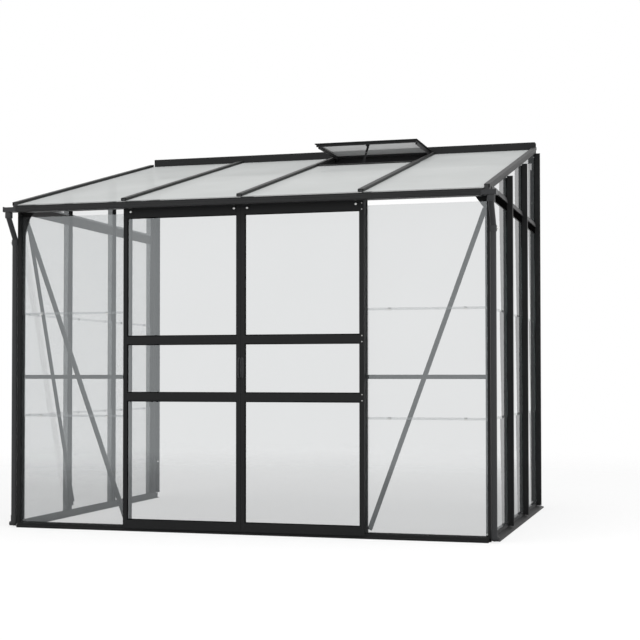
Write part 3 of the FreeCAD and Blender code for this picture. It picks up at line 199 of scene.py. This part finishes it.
def coat_group():
    """Shared effect: slow unevenness, fine orange peel and a little dust where a face looks up.

    Colour is mixed from the paint towards the dust by (upward share x cloudy noise x amount),
    colour and roughness vary by 14 % with the clouds, and the height is a fine noise of about
    1 mm.
    """
    group = bpy.data.node_groups.new("coat_effect", "ShaderNodeTree")
    sockets = (("Paint", "INPUT", "NodeSocketColor"), ("Dust", "INPUT", "NodeSocketColor"),
               ("Dust Amount", "INPUT", "NodeSocketFloat"), ("Gloss", "INPUT", "NodeSocketFloat"),
               ("Colour", "OUTPUT", "NodeSocketColor"), ("Roughness", "OUTPUT", "NodeSocketFloat"),
               ("Height", "OUTPUT", "NodeSocketFloat"))
    for name, way, kind in sockets:
        group.interface.new_socket(name, in_out=way, socket_type=kind)
    shade, wire = group.nodes, group.links
    given = shade.new("NodeGroupInput")
    result = shade.new("NodeGroupOutput")
    place = put_node(shade, "TexCoord")
    cloudy = put_node(shade, "TexNoise", {"Scale": CLOUDS_PER_M, "Detail": 4.0})
    peel = put_node(shade, "TexNoise", {"Scale": PEEL_PER_M, "Detail": 1.0})
    lie = put_node(shade, "NewGeometry")
    lie_parts = put_node(shade, "SeparateXYZ")
    upward = put_node(shade, "MapRange", {"From Min": 0.2, "From Max": 1.0})
    patchy = put_node(shade, "MapRange", {"From Min": 0.35, "From Max": 0.75, "To Min": 0.35})
    uneven = put_node(shade, "MapRange", {"To Min": 0.86, "To Max": 1.14})
    settled = put_node(shade, "Math", operation="MULTIPLY")
    dusty = put_node(shade, "Math", operation="MULTIPLY")
    rough = put_node(shade, "Math", operation="MULTIPLY")
    tone = put_node(shade, "VectorMath", operation="SCALE")
    blend = put_node(shade, "Mix", data_type="RGBA")
    wire.new(place.outputs["Object"], cloudy.inputs["Vector"])
    wire.new(place.outputs["Object"], peel.inputs["Vector"])
    wire.new(lie.outputs["Normal"], lie_parts.inputs[0])
    wire.new(lie_parts.outputs["Z"], upward.inputs["Value"])
    wire.new(cloudy.outputs["Fac"], patchy.inputs["Value"])
    wire.new(cloudy.outputs["Fac"], uneven.inputs["Value"])
    wire.new(upward.outputs["Result"], settled.inputs[0])
    wire.new(patchy.outputs["Result"], settled.inputs[1])
    wire.new(settled.outputs[0], dusty.inputs[0])
    wire.new(given.outputs["Dust Amount"], dusty.inputs[1])
    wire.new(given.outputs["Paint"], tone.inputs[0])
    wire.new(uneven.outputs["Result"], tone.inputs["Scale"])
    wire.new(dusty.outputs[0], blend.inputs["Factor"])
    wire.new(tone.outputs["Vector"], blend.inputs["A"])
    wire.new(given.outputs["Dust"], blend.inputs["B"])
    wire.new(given.outputs["Gloss"], rough.inputs[0])
    wire.new(uneven.outputs["Result"], rough.inputs[1])
    wire.new(blend.outputs["Result"], result.inputs["Colour"])
    wire.new(rough.outputs[0], result.inputs["Roughness"])
    wire.new(peel.outputs["Fac"], result.inputs["Height"])
    return group


coat_effect = coat_group()


def coated(name, paint, dust, dust_amount, rough, relief, metallic=0.0, shine=0.5):
    """A finish that takes its colour, roughness and relief from the shared coat effect."""
    material, shade, wire, output = new_material(name)
    effect = put_node(shade, "Group", node_tree=coat_effect)
    effect.inputs["Paint"].default_value = (*paint, 1)
    effect.inputs["Dust"].default_value = (*dust, 1)
    effect.inputs["Dust Amount"].default_value = dust_amount
    effect.inputs["Gloss"].default_value = rough
    surface = put_node(shade, "BsdfPrincipled", {"Metallic": metallic, "Specular IOR Level": shine})
    bump = put_node(shade, "Bump", {"Strength": relief, "Distance": PEEL_DEPTH})
    wire.new(effect.outputs["Colour"], surface.inputs["Base Color"])
    wire.new(effect.outputs["Roughness"], surface.inputs["Roughness"])
    wire.new(effect.outputs["Height"], bump.inputs["Height"])
    wire.new(bump.outputs["Normal"], surface.inputs["Normal"])
    wire.new(surface.outputs["BSDF"], output.inputs["Surface"])
    return material


def finish_nodes(material, *names):
    """Give a finish to every material slot of the named pieces."""
    for name in names:
        for slot in nodes[name].material_slots:
            slot.material = material


black_coat = coated("black_powder_coat", paint=(0.0195, 0.020, 0.0205), dust=(0.04, 0.04, 0.039),
                    dust_amount=0.3, rough=0.46, relief=0.12, shine=0.12)
finish_nodes(black_coat, "sill_front", "sill_left", "sill_right")


# Uprights: corner posts, door jambs, side mullions and the posts against the house wall.
# Black coated extrusions with a cap outside the panes and a flange behind them.

finish_nodes(black_coat, "corner_post_left", "corner_post_right", "jamb_posts", "side_mullions",
             "wall_post_left", "wall_post_right")


# Eaves and ridge: the beam over the doors, the rail that the leaves hang on, the slanted
# side rails and the channel that takes the roof bars' upper ends, all in black coat.

finish_nodes(black_coat, "eave_beam", "roller_track", "side_eave_bars", "ridge_bar")


# Roof bars: rafters with a flat cap over the sheets' edges and sawn ends over the gutter.
# The caps look at the sky, so they carry more dust than the walls do.

bar_coat = coated("roof_bar_coat", paint=(0.013, 0.0135, 0.0135), dust=(0.06, 0.06, 0.058),
                  dust_amount=0.4, rough=0.48, relief=0.12, shine=0.16)
finish_nodes(bar_coat, "roof_bars", "end_roof_bar_left", "end_roof_bar_right")


# Braces: diagonals of black coated angle, corner gussets and the bars at waist height. All are
# bolted behind the glass, in the front's fixed bays and on the side walls.

finish_nodes(black_coat, "front_braces", "side_brace_left", "front_gussets", "side_gussets",
             "mid_bars")


# Wall panes: clear float glass, three lapped sheets to a bay, with a faint grey veil. The
# sheet reflects more the flatter it is seen, and its cut edge is dark green. The left wall is
# seen from inside, against the light, and its veil shows less.

GLASS_IOR = 1.52
STAINS_PER_M = 2.5
RIM_BELOW = 0.5


def pane_material(name, body, veil, rough, mottle, edge=None, face_axis=None, mirror=0.0, shine=0.5):
    """Thin glazing: alpha = veil + (1 - veil) x Fresnel on faces that look out, nothing behind.

    mottle stains the body with a slow noise. edge colours the cut rim, where the normal's share
    along face_axis is under a half.
    """
    material, shade, wire, output = new_material(name)
    surface = put_node(shade, "BsdfPrincipled", {"Roughness": rough, "IOR": GLASS_IOR,
                                                 "Metallic": mirror, "Specular IOR Level": shine})
    bend = put_node(shade, "Fresnel", {"IOR": GLASS_IOR})
    cover = put_node(shade, "MapRange", {"To Min": veil, "To Max": 1.0})
    lie = put_node(shade, "NewGeometry")
    front = put_node(shade, "Math", {0: 1.0}, operation="SUBTRACT")
    shown = put_node(shade, "Math", operation="MULTIPLY")
    place = put_node(shade, "TexCoord")
    cloud = put_node(shade, "TexNoise", {"Scale": STAINS_PER_M, "Detail": 3.0})
    stain = put_node(shade, "MapRange", {"To Min": 1.0 - mottle, "To Max": 1.0 + mottle})
    tone = put_node(shade, "VectorMath", {0: body}, operation="SCALE")
    wire.new(place.outputs["Object"], cloud.inputs["Vector"])
    wire.new(cloud.outputs["Fac"], stain.inputs["Value"])
    wire.new(stain.outputs["Result"], tone.inputs["Scale"])
    wire.new(bend.outputs["Fac"], cover.inputs["Value"])
    wire.new(lie.outputs["Backfacing"], front.inputs[1])
    wire.new(cover.outputs["Result"], shown.inputs[0])
    wire.new(front.outputs[0], shown.inputs[1])
    if edge is None:
        wire.new(tone.outputs["Vector"], surface.inputs["Base Color"])
        wire.new(shown.outputs[0], surface.inputs["Alpha"])
    else:
        turn = put_node(shade, "VectorMath", {1: face_axis}, operation="DOT_PRODUCT")
        flat = put_node(shade, "Math", operation="ABSOLUTE")
        rim = put_node(shade, "Math", {1: RIM_BELOW}, operation="LESS_THAN")
        rim_colour = put_node(shade, "Mix", {"B": (*edge, 1)}, data_type="RGBA")
        rim_cover = put_node(shade, "Math", operation="MAXIMUM")
        wire.new(lie.outputs["Normal"], turn.inputs[0])
        wire.new(turn.outputs["Value"], flat.inputs[0])
        wire.new(flat.outputs[0], rim.inputs[0])
        wire.new(rim.outputs[0], rim_colour.inputs["Factor"])
        wire.new(tone.outputs["Vector"], rim_colour.inputs["A"])
        wire.new(rim_colour.outputs["Result"], surface.inputs["Base Color"])
        wire.new(shown.outputs[0], rim_cover.inputs[0])
        wire.new(rim.outputs[0], rim_cover.inputs[1])
        wire.new(rim_cover.outputs[0], surface.inputs["Alpha"])
    wire.new(surface.outputs["BSDF"], output.inputs["Surface"])
    return material


float_glass = {"body": (0.46, 0.485, 0.495), "rough": 0.02, "mottle": 0.06, "mirror": 0.75,
               "edge": (0.10, 0.16, 0.15)}
front_glass = pane_material("front_float_glass", veil=0.40, face_axis=(0, 1, 0), **float_glass)
side_glass = pane_material("side_float_glass", veil=0.40, face_axis=(1, 0, 0), **float_glass)
left_glass = pane_material("left_float_glass", veil=0.22, face_axis=(1, 0, 0), **float_glass)
finish_nodes(front_glass, "front_glass", "door_left_glass", "door_right_glass")
finish_nodes(side_glass, "side_glass_right")
finish_nodes(left_glass, "side_glass_left")


# Lap clips: strips of sprung stainless steel, bent to hook one pane's foot over the next.
# They catch the light as small bright dots along each lap.

clip_steel = coated("sprung_stainless", paint=(0.62, 0.62, 0.61), dust=(0.5, 0.5, 0.49),
                    dust_amount=0.1, rough=0.22, relief=0.05, metallic=1.0)
finish_nodes(clip_steel, "lap_clips")


# Roof sheets: greyish translucent glazing that slides under the bars' caps.
# Seen flat from the front it mirrors the bright sky in soft patches.

roof_sheet = pane_material("roof_sheet", body=(0.40, 0.412, 0.408), veil=0.88, rough=0.55,
                           mottle=0.12, shine=0.25)
finish_nodes(roof_sheet, "roof_panels", "roof_panel_vent")


# Bar caps: slim clamping strips of black coated aluminium, screwed down over the roof bars.
# Each has a rounded crown, a skirt over each side of the bar and a nose past the bar's end.
# Beside the roof light they have no skirts, and on the end bars an outer one alone.

BAY_WIDE = 0.62
END_BAR_X = 1.2284
BAR_TOP_AT_FRONT = 1.7065
ROOF_PITCH = math.radians(13.7)
CAP_NOSE_Y, END_CAP_NOSE_Y = -0.0585, -0.0575
CAP_HEAD_Y = 1.8565
ROOF_LIGHT_Y = 1.3550
CAP_JOINT = 0.0002
BAR_CLEAR = 0.0003
HOLLOW_HALF = 0.0103
SHOULDER = 0.0011
QUARTER_TURN = np.linspace(0, math.pi / 2, 5)
SMOOTH_BELOW = math.radians(40)


def grid(x, y, z):
    """An (n, m, 3) array of points from coordinates that broadcast together."""
    return np.stack(np.broadcast_arrays(x, y, z), axis=-1)


def swept(loops, ring=False):
    """Points, quads and end faces of a row of equal closed loops, an (n, m, 3) array.

    Quad (i, j) joins points j and j + 1 of loop i to those of loop i + 1. A ring goes on from
    the last loop to the first, and otherwise the two ends are capped.
    """
    count, around, _ = loops.shape
    here = np.arange(count * around).reshape(count, around)
    if ring:
        here = np.vstack([here, here[:1]])
    beside = np.roll(here, -1, axis=1)
    quads = np.stack([here[:-1], beside[:-1], beside[1:], here[1:]], axis=-1).reshape(-1, 4)
    ends = [] if ring else [here[0, ::-1], here[-1]]
    return loops.reshape(-1, 3), quads, ends


def turned(piece):
    """The same piece with its faces looking the other way."""
    points, quads, ends = piece
    return points, quads[:, ::-1], [end[::-1] for end in ends]


def put_pieces(name, pieces, material, body, smooth=False):
    """One object from several (points, quads, ends) pieces; it rides on a body of the CAD model.
    """
    faces, first = [], 0
    for points, quads, ends in pieces:
        faces += (quads + first).tolist() + [(end + first).tolist() for end in ends]
        first += len(points)
    piece = put_mesh(name, np.vstack([points for points, _, _ in pieces]), faces, material)
    if smooth:
        piece.data.shade_smooth()
        piece.data.set_sharp_from_angle(angle=SMOOTH_BELOW)
    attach(piece, body)
    return piece


def cap_section(inner, outer, crown, inner_skirt, outer_skirt):
    """Closed loop of (x, height above the bar): an arch with quarter-round shoulders.

    It reaches from -inner to outer and goes down by its own skirt on each side; the hollow
    under the crown clears the 20 mm bar by 0.3 mm.
    """
    run = SHOULDER * (1 - np.cos(QUARTER_TURN))
    drop = SHOULDER * (1 - np.sin(QUARTER_TURN))
    loop = [[(outer, -outer_skirt)],
            np.stack([outer - run, crown - drop], axis=1),
            np.stack([drop - inner, crown - run], axis=1),
            [(-inner, -inner_skirt)]]
    if inner_skirt > 0:
        loop.append([(-HOLLOW_HALF, -inner_skirt), (-HOLLOW_HALF, BAR_CLEAR)])
    if outer_skirt > 0:
        loop.append([(HOLLOW_HALF, BAR_CLEAR), (HOLLOW_HALF, -outer_skirt)])
    return np.vstack(loop)


def cap_strip(middle, start, end, section, side=1):
    """The section carried up the roof's slope from y = start to y = end, mirrored if side is -1.

    The bar's top is at its height in front + y x the pitch's tangent.
    """
    across, height = section.T
    along = np.array((start, end))[:, None]
    bar_top = BAR_TOP_AT_FRONT + along * math.tan(ROOF_PITCH)
    strip = swept(grid(middle + side * across, along, bar_top + height))
    return strip if side < 0 else turned(strip)


full_cap = cap_section(inner=0.0142, outer=0.0142, crown=0.0024,
                       inner_skirt=0.0114, outer_skirt=0.0114)
bare_cap = cap_section(inner=0.0100, outer=0.0100, crown=0.0026,
                       inner_skirt=-BAR_CLEAR, outer_skirt=-BAR_CLEAR)
end_cap = cap_section(inner=0.0103, outer=0.0180, crown=0.0026,
                      inner_skirt=-BAR_CLEAR, outer_skirt=0.0150)
caps = [cap_strip(-BAY_WIDE, CAP_NOSE_Y, CAP_HEAD_Y, full_cap)]
caps += [cap_strip(middle, CAP_NOSE_Y, ROOF_LIGHT_Y, full_cap) for middle in (0.0, BAY_WIDE)]
caps += [cap_strip(middle, ROOF_LIGHT_Y + CAP_JOINT, CAP_HEAD_Y, bare_cap)
         for middle in (0.0, BAY_WIDE)]
caps += [cap_strip(side * END_BAR_X, END_CAP_NOSE_Y, CAP_HEAD_Y, end_cap, side)
         for side in (-1, 1)]
put_pieces("roof_bar_caps", caps, bar_coat, "frame")


# End plugs: moulded grey plugs pushed over the roof bars' lower ends, down to the gutter.
# Each has a rounded face and hides the sawn end of the bar and the sheets' corners.

PLUG_HALF = 0.0100
PLUG_LOW, PLUG_HIGH = 1.6782, 1.6925
END_PLUG_X = (1.2184, 1.2440)
END_PLUG_LOW = 1.6678
PLUG_BACK_Y = -0.0552
PLUG_THICK = 0.0022
PLUG_CORNER = 0.0025
PLUG_EDGE = 0.001


def end_plug(left, right, low, high):
    """A plate with corners of radius 2.5 mm, its face drawn in by 1 mm.

    Loops from back to front are the outline inset by 0, 0 and 1 mm at depths 0, thick - 1 mm
    and thick. A corner's point is its centre + (radius - inset)(cos t, sin t).
    """
    quarters = np.arange(4)[:, None] * math.pi / 2
    angle = (quarters + QUARTER_TURN).ravel()
    west, east = left + PLUG_CORNER, right - PLUG_CORNER
    foot, head = low + PLUG_CORNER, high - PLUG_CORNER
    x = np.repeat((east, west, west, east), len(QUARTER_TURN))
    z = np.repeat((head, head, foot, foot), len(QUARTER_TURN))
    radius = np.array((PLUG_CORNER, PLUG_CORNER, PLUG_CORNER - PLUG_EDGE))[:, None]
    depth = np.array((0, PLUG_THICK - PLUG_EDGE, PLUG_THICK))[:, None]
    return swept(grid(x + radius * np.cos(angle), PLUG_BACK_Y - depth, z + radius * np.sin(angle)))


plug_plastic = coated("plug_plastic", paint=(0.050, 0.051, 0.052), dust=(0.11, 0.11, 0.105),
                      dust_amount=0.2, rough=0.5, relief=0.3, shine=0.25)
plugs = [end_plug(x - PLUG_HALF, x + PLUG_HALF, PLUG_LOW, PLUG_HIGH)
         for x in (-BAY_WIDE, 0.0, BAY_WIDE)]
plugs += [end_plug(-END_PLUG_X[1], -END_PLUG_X[0], END_PLUG_LOW, PLUG_HIGH),
          end_plug(*END_PLUG_X, END_PLUG_LOW, PLUG_HIGH)]
put_pieces("roof_bar_plugs", plugs, plug_plastic, "frame", smooth=True)


# Side rail trims: on each slanted side rail, a bright edged strip that laps the gable panes'
# feet, and below it a ribbed near-black strip on the rail's face, painted shade for its lower band.

RAIL_BAYS = ((0.0455, 0.5985), (0.6335, 1.2185), (1.2535, 1.8385))
SHADE_STRIP_FOOT, SHADE_STRIP_HEAD = 1.6408, 1.6765
SHADE_STRIP_BACK_X, SHADE_STRIP_FACE_X = 1.2356, 1.2364
RIB_RISE = 0.0005
RIB_STEPS = np.arange(25)

lip_section = np.array([(1.2360, 1.6775), (1.2440, 1.6775), (1.2446, 1.6790), (1.2436, 1.6806),
                        (1.2376, 1.7056), (1.2366, 1.7066), (1.2358, 1.7056), (1.2358, 1.6940)])
# The ribs are a cosine wave of four points to a rib, down the strip's face.
rib_face = np.stack([SHADE_STRIP_FACE_X + RIB_RISE * np.cos(RIB_STEPS * math.pi / 2),
                     np.linspace(SHADE_STRIP_HEAD, SHADE_STRIP_FOOT, len(RIB_STEPS))], axis=1)
shade_strip_section = np.vstack([(SHADE_STRIP_BACK_X, SHADE_STRIP_HEAD), (SHADE_STRIP_BACK_X, SHADE_STRIP_FOOT), rib_face[::-1]])


def rail_strip(side, start, end, section):
    """The closed section (distance from the middle, height) carried from y = start to y = end."""
    distance, height = section.T
    strip = swept(grid(side * distance, np.array((start, end))[:, None], height))
    return strip if side < 0 else turned(strip)


lip_coat = coated("rail_lip_coat", paint=(0.026, 0.0265, 0.027), dust=(0.09, 0.09, 0.088),
                  dust_amount=0.3, rough=0.46, relief=0.12, shine=0.2)
# Near-black rubber: real rubber for the door beads, and painted shade on the side rail strips.
rubber_and_painted_shade = coated("rubber_and_painted_shade", paint=(0.002, 0.002, 0.002), dust=(0.015, 0.015, 0.015),
                     dust_amount=0.1, rough=0.85, relief=0.4, shine=0.0)
lips, shade_strips = ([rail_strip(side, *bay, section) for side in (-1, 1) for bay in RAIL_BAYS]
               for section in (lip_section, shade_strip_section))
put_pieces("side_rail_lips", lips, lip_coat, "frame")
# The ribbed strips paint in the shade that lies along each rail's lower face.
put_pieces("side_rail_shade_strips", shade_strips, rubber_and_painted_shade, "frame")


# Brace lip: a slim strip of black coated aluminium that widens the left side brace's leg
# towards the room, from below its head to above its foot.

LEG_HEAD = np.array((0.0404, 1.6062))
LEG_FOOT = np.array((0.6137, 0.0602))
LEG_THICK = np.array((0.0023, 0.0008))
LEG_EDGE_X, LIP_EDGE_X = -1.2041, -1.1950
LIP_SHARES = (0.03, 0.985)

lip_y, lip_z = (LEG_HEAD + np.outer(LIP_SHARES, LEG_FOOT - LEG_HEAD)).T[:, :, None]
round_leg = np.outer((0, 1, 1, 0), LEG_THICK)
brace_lip = swept(grid(np.array((LEG_EDGE_X, LEG_EDGE_X, LIP_EDGE_X, LIP_EDGE_X)),
                       lip_y + round_leg[:, 0], lip_z + round_leg[:, 1]))
put_pieces("side_brace_lip", [brace_lip], black_coat, "frame")


# Roof light: a hinged flap with a black frame, a folded drip rim, its sill and head bars, a
# bright hinge pin and a flat stay that hangs from the free edge.

RIM_SECTION = ((-0.010, 2.1628), (0.0068, 2.1628), (0.0070, 2.1592), (0.0080, 2.1592),
               (0.0080, 2.1636), (0.0072, 2.1642), (-0.010, 2.1642))
RIM_SHORT_OF_HINGE = 0.012


def flap_rim(left, right, free, hinge):
    """A folded rim along the flap's free edge and both sides, as an inverted L.

    The section (distance outwards, height) is carried along a route with two mitred corners.
    """
    outwards, height = np.array(RIM_SECTION).T
    route = np.array(((left, hinge, -1, 0), (left, free, -1, -1), (right, free, 1, -1),
                      (right, hinge, 1, 0)))
    x, y, dx, dy = route.T[:, :, None]
    return turned(swept(grid(x + dx * outwards, y + dy * outwards, height)))


finish_nodes(black_coat, "vent_sill_bar", "vent_head_bar", "vent_flap_frame", "stay_bracket",
             "casement_stay")
# The flap's sheet is a paler, clearer copy of the roof sheet: painted light, for daylight shining
# through it from above.
flap_sheet_painted_light = pane_material("flap_sheet_painted_light", body=(0.52, 0.535, 0.53), veil=0.64, rough=0.5,
                           mottle=0.12, shine=0.25)
finish_nodes(flap_sheet_painted_light, "vent_flap_panel")
low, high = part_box("vent_flap_frame")
rim = flap_rim(low[0], high[0], free=low[1], hinge=high[1] - RIM_SHORT_OF_HINGE)
put_pieces("vent_flap_rim", [rim], bar_coat, "vent_flap")
bright_zinc = coated("bright_zinc", paint=(0.88, 0.88, 0.86), dust=(0.5, 0.5, 0.48),
                     dust_amount=0.1, rough=0.34, relief=0.1, metallic=1.0)
finish_nodes(bright_zinc, "vent_hinge_pin", "brace_spacers")


# Bolts: bright zinc-plated pan heads with a hexagon socket, on the jambs, the corners' feet,
# the pipe collars, the door leaves' hangers and the ends of their rails. The left leaf's rail
# screws are black coated as painted shade, for the shadow that hides them on that side.

HEAD_POINTS = 24
RING_SHARES = (1, 1, 0.93, 0.76, 0.52)
SOCKET_SHARES = (0.34, 0.33)
RING_LEVELS = (0, 0.3, 0.66, 0.9, 1.0, 1.0, 0.45)
COLLAR_BEYOND_X = 1.25
COLLAR_HEAD_RADIUS, COLLAR_HEAD_TALL = 0.0055, 0.0068
HANGER_BEFORE_Y = -0.036
HANGER_HEAD_RADIUS = 0.0062
GLASS_PLANE_Y = 0.025


def loose_parts(node):
    """Corner arrays of the separate solids of a CAD node, found by walking its mesh's edges.

    Each corner starts with its own label and takes the lowest of its neighbours' until none
    changes.
    """
    mesh = nodes[node].data
    places = np.empty(len(mesh.vertices) * 3)
    mesh.vertices.foreach_get("co", places)
    places = places.reshape(-1, 3)
    corners, same = np.unique(places.round(6), axis=0, return_inverse=True)
    same = same.ravel()
    ends = np.empty(len(mesh.edges) * 2, int)
    mesh.edges.foreach_get("vertices", ends)
    links = same[ends].reshape(-1, 2)
    label, before = np.arange(len(corners)), None
    while before is None or (label != before).any():
        before = label
        lowest = np.minimum(before[links[:, 0]], before[links[:, 1]])
        label = before.copy()
        np.minimum.at(label, links[:, 0], lowest)
        np.minimum.at(label, links[:, 1], lowest)
    mine = label[same]
    return [places[mine == part] for part in np.unique(mine)]


def outward_side(centre, axis):
    """Heads on the front look at -y, those behind the glass at +y, those at the sides outwards."""
    if axis == 0:
        return 1 if centre[0] > 0 else -1
    return -1 if centre[1] < GLASS_PLANE_Y else 1


def pan_head(corners):
    """A pan head in the place of one plain round head, given by corners of its solid.

    Rings of 24 points: radius R(1, 1, 0.93, 0.76, 0.52) at height H(0, 0.3, 0.66, 0.9, 1), then
    the socket, a hexagon cos 30 / cos((t mod 60) - 30) times 0.34 R at H and 0.33 R at 0.45 H.
    The clamp bolts of the pipe collars stand further out, and the hangers' heads are wider.
    """
    low, high = corners.min(axis=0), corners.max(axis=0)
    axis = int(np.argmin(high - low))
    across, up = (i for i in range(3) if i != axis)
    centre = (low + high) / 2
    outward = outward_side(centre, axis)
    foot = low[axis] if outward > 0 else high[axis]
    tall = high[axis] - low[axis]
    radius = (high - low)[[across, up]].mean() / 2
    if abs(centre[0]) > COLLAR_BEYOND_X:
        radius, tall = COLLAR_HEAD_RADIUS, COLLAR_HEAD_TALL
    elif centre[1] < HANGER_BEFORE_Y:
        radius = HANGER_HEAD_RADIUS
    angle = np.arange(HEAD_POINTS) * math.tau / HEAD_POINTS
    sixth = math.radians(60)
    hexagon = math.cos(sixth / 2) / np.cos(angle % sixth - sixth / 2)
    share = np.vstack([np.outer(RING_SHARES, np.ones(HEAD_POINTS)),
                       np.outer(SOCKET_SHARES, hexagon)])
    loops = np.empty((len(RING_LEVELS), HEAD_POINTS, 3))
    loops[:, :, across] = centre[across] + radius * share * np.cos(angle)
    loops[:, :, up] = centre[up] + radius * share * np.sin(angle)
    loops[:, :, axis] = foot + outward * tall * np.array(RING_LEVELS)[:, None]
    head = swept(loops)
    return head if (outward > 0) == (axis != 1) else turned(head)


def round_place(x, y, z, radius):
    """The two corners of the box round a flat head that looks along y, with y = (low, high)."""
    return np.array([(x - radius, y[0], z - radius), (x + radius, y[1], z + radius)])


FOOT_TIP = {"y": (0.0232, 0.0234), "z": 0.0350, "radius": 0.0045}
FOOT_TIP_X = 1.2164
RAIL_SCREW = {"y": (-0.0345, -0.0330), "radius": 0.0027}
RAIL_SCREW_X = 0.6195
TOP_RAIL_SCREWS_Z = (1.5990, 1.6290)
HANGERS_ABOVE_Z = 1.5

frame_heads = [pan_head(corners) for corners in loose_parts("frame_bolts")]
frame_heads += [pan_head(round_place(side * FOOT_TIP_X, **FOOT_TIP)) for side in (-1, 1)]
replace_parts(put_pieces("frame_bolts_heads", frame_heads, bright_zinc, "frame",
                       smooth=True), "frame_bolts")
# The left leaf's screws take the black coat as painted shade; the right leaf's are bright zinc.
for body, side, screw_finish_and_painted_shade in (("door_left", -1, black_coat), ("door_right", 1, bright_zinc)):
    solids = loose_parts(f"{body}_bolts")
    hanger_heads = [pan_head(solid) for solid in solids if solid[:, 2].min() > HANGERS_ABOVE_Z]
    screws = [pan_head(solid) for solid in solids if solid[:, 2].min() <= HANGERS_ABOVE_Z]
    screws += [pan_head(round_place(side * RAIL_SCREW_X, z=z, **RAIL_SCREW))
               for z in TOP_RAIL_SCREWS_Z]
    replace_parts(put_pieces(f"{body}_bolts_heads", hanger_heads, bright_zinc, body,
                           smooth=True), f"{body}_bolts")
    put_pieces(f"{body}_rail_screws", screws, screw_finish_and_painted_shade, body, smooth=True)


# Door leaves: two sliding leaves of black box section, each with three panes, a slotted
# foot, hanger plates over the top rail and a pull handle on the meeting stile. Rubber beads
# hold the panes, and the leaves run on nylon wheels between nylon guides.

PULL_THICK = 0.0025
PULL_FILLET = 0.003
PULL_NARROWEST = 0.8
PULL_RINGS = 33
BEAD_RADIUS = 0.0022
BEAD_STEPS = 9
BEAD_GAP = 0.0001


def pull_handle(low, high, side):
    """An angle-shaped pull: a foot plate and a grip that rises and falls along its length.

    The section is an L with rounded outer corners; the grip's reach at height share s is
    (1 - |2s - 1| ** 5) of its full reach, but never under the plate's own thickness. Each run
    of the outline is an (across, out) pair with one row for each height.
    """
    share = ((1 - np.cos(np.linspace(0, math.pi, PULL_RINGS))) / 2)[:, None]
    swell = 1 - abs(2 * share - 1) ** 5
    wide, deep = high[0] - low[0], high[1] - low[1]
    reach = PULL_THICK + (deep - PULL_THICK) * swell
    span = wide * (PULL_NARROWEST + (1 - PULL_NARROWEST) * swell)
    fillet = np.minimum(PULL_FILLET, np.maximum(reach - PULL_THICK, 0) / 2)
    tip = PULL_THICK / 2
    none = np.zeros_like(share)
    sine, cosine = np.sin(QUARTER_TURN), np.cos(QUARTER_TURN)
    runs = ((none, none), (span, none),
            (span - tip + tip * cosine, none + tip + tip * sine),
            (PULL_THICK + fillet * (1 - sine), PULL_THICK + fillet * (1 - cosine)),
            (none + tip + tip * cosine, reach - tip + tip * sine),
            (none + tip - tip * sine, reach - tip + tip * cosine))
    across, out = (np.hstack(parts) for parts in zip(*runs))
    start = low[0] if side > 0 else high[0]
    level = low[2] + (high[2] - low[2]) * share
    pull = swept(grid(start + side * across, high[1] - out, level))
    return pull if side < 0 else turned(pull)


def pane_bead(low, high, face, outward):
    """A rubber bead run round a pane's edge: a half round swept along a mitred rectangle.

    At angle t it stands radius x sin t proud of the glass, radius x (1 - cos t) in from the edge.
    """
    angle = np.linspace(0, math.pi, BEAD_STEPS)
    inset = BEAD_RADIUS * (1 - np.cos(angle)) + BEAD_GAP
    proud = BEAD_RADIUS * np.sin(angle) + BEAD_GAP
    route = np.array(((low[0], low[2], 1, 1), (high[0], low[2], -1, 1),
                      (high[0], high[2], -1, -1), (low[0], high[2], 1, -1)))
    x, z, dx, dz = route.T[:, :, None]
    bead = swept(grid(x + dx * inset, face + outward * proud, z + dz * inset), ring=True)
    return bead if outward > 0 else turned(bead)


finish_nodes(black_coat, "door_left_stiles", "door_right_stiles", "door_left_rails",
             "door_right_rails", "door_left_hangers", "door_right_hangers")
handle_plastic = coated("handle_plastic", paint=(0.042, 0.043, 0.045), dust=(0.1, 0.1, 0.1),
                        dust_amount=0.1, rough=0.5, relief=0.5, shine=0.3)
for body, side in (("door_left", -1), ("door_right", 1)):
    pull = pull_handle(*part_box(f"{body}_handle"), side)
    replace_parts(put_pieces(f"{body}_pull", [pull], handle_plastic, body,
                           smooth=True), f"{body}_handle")
    panes = [(solid.min(axis=0), solid.max(axis=0)) for solid in loose_parts(f"{body}_glass")]
    beads = [pane_bead(low, high, face, outward) for low, high in panes
             for face, outward in ((low[1], -1), (high[1], 1))]
    put_pieces(f"{body}_beads", beads, rubber_and_painted_shade, body, smooth=True)
wheel_nylon = coated("wheel_nylon", paint=(0.66, 0.65, 0.60), dust=(0.4, 0.4, 0.38),
                     dust_amount=0.2, rough=0.45, relief=0.2)
finish_nodes(wheel_nylon, *(name for name in nodes if "_wheel_" in name or name.endswith("_guides")))


# Rain goods: the grooved gutter under the roof's edge is coated like the frame but worn
# greyer; its moulded ends, swan necks, pipes, collars and shoes are dark grey plastic.

gutter_coat = coated("gutter_coat", paint=(0.024, 0.0245, 0.025), dust=(0.07, 0.07, 0.07),
                     dust_amount=0.4, rough=0.44, relief=0.12, shine=0.2)
finish_nodes(gutter_coat, "gutter")
pipe_plastic = coated("pipe_plastic", paint=(0.041, 0.042, 0.044), dust=(0.11, 0.11, 0.105),
                      dust_amount=0.3, rough=0.42, relief=0.3, shine=0.25)
finish_nodes(pipe_plastic, "gutter_outlets", "swan_necks", "downpipes", "pipe_collars",
             "pipe_shoes")
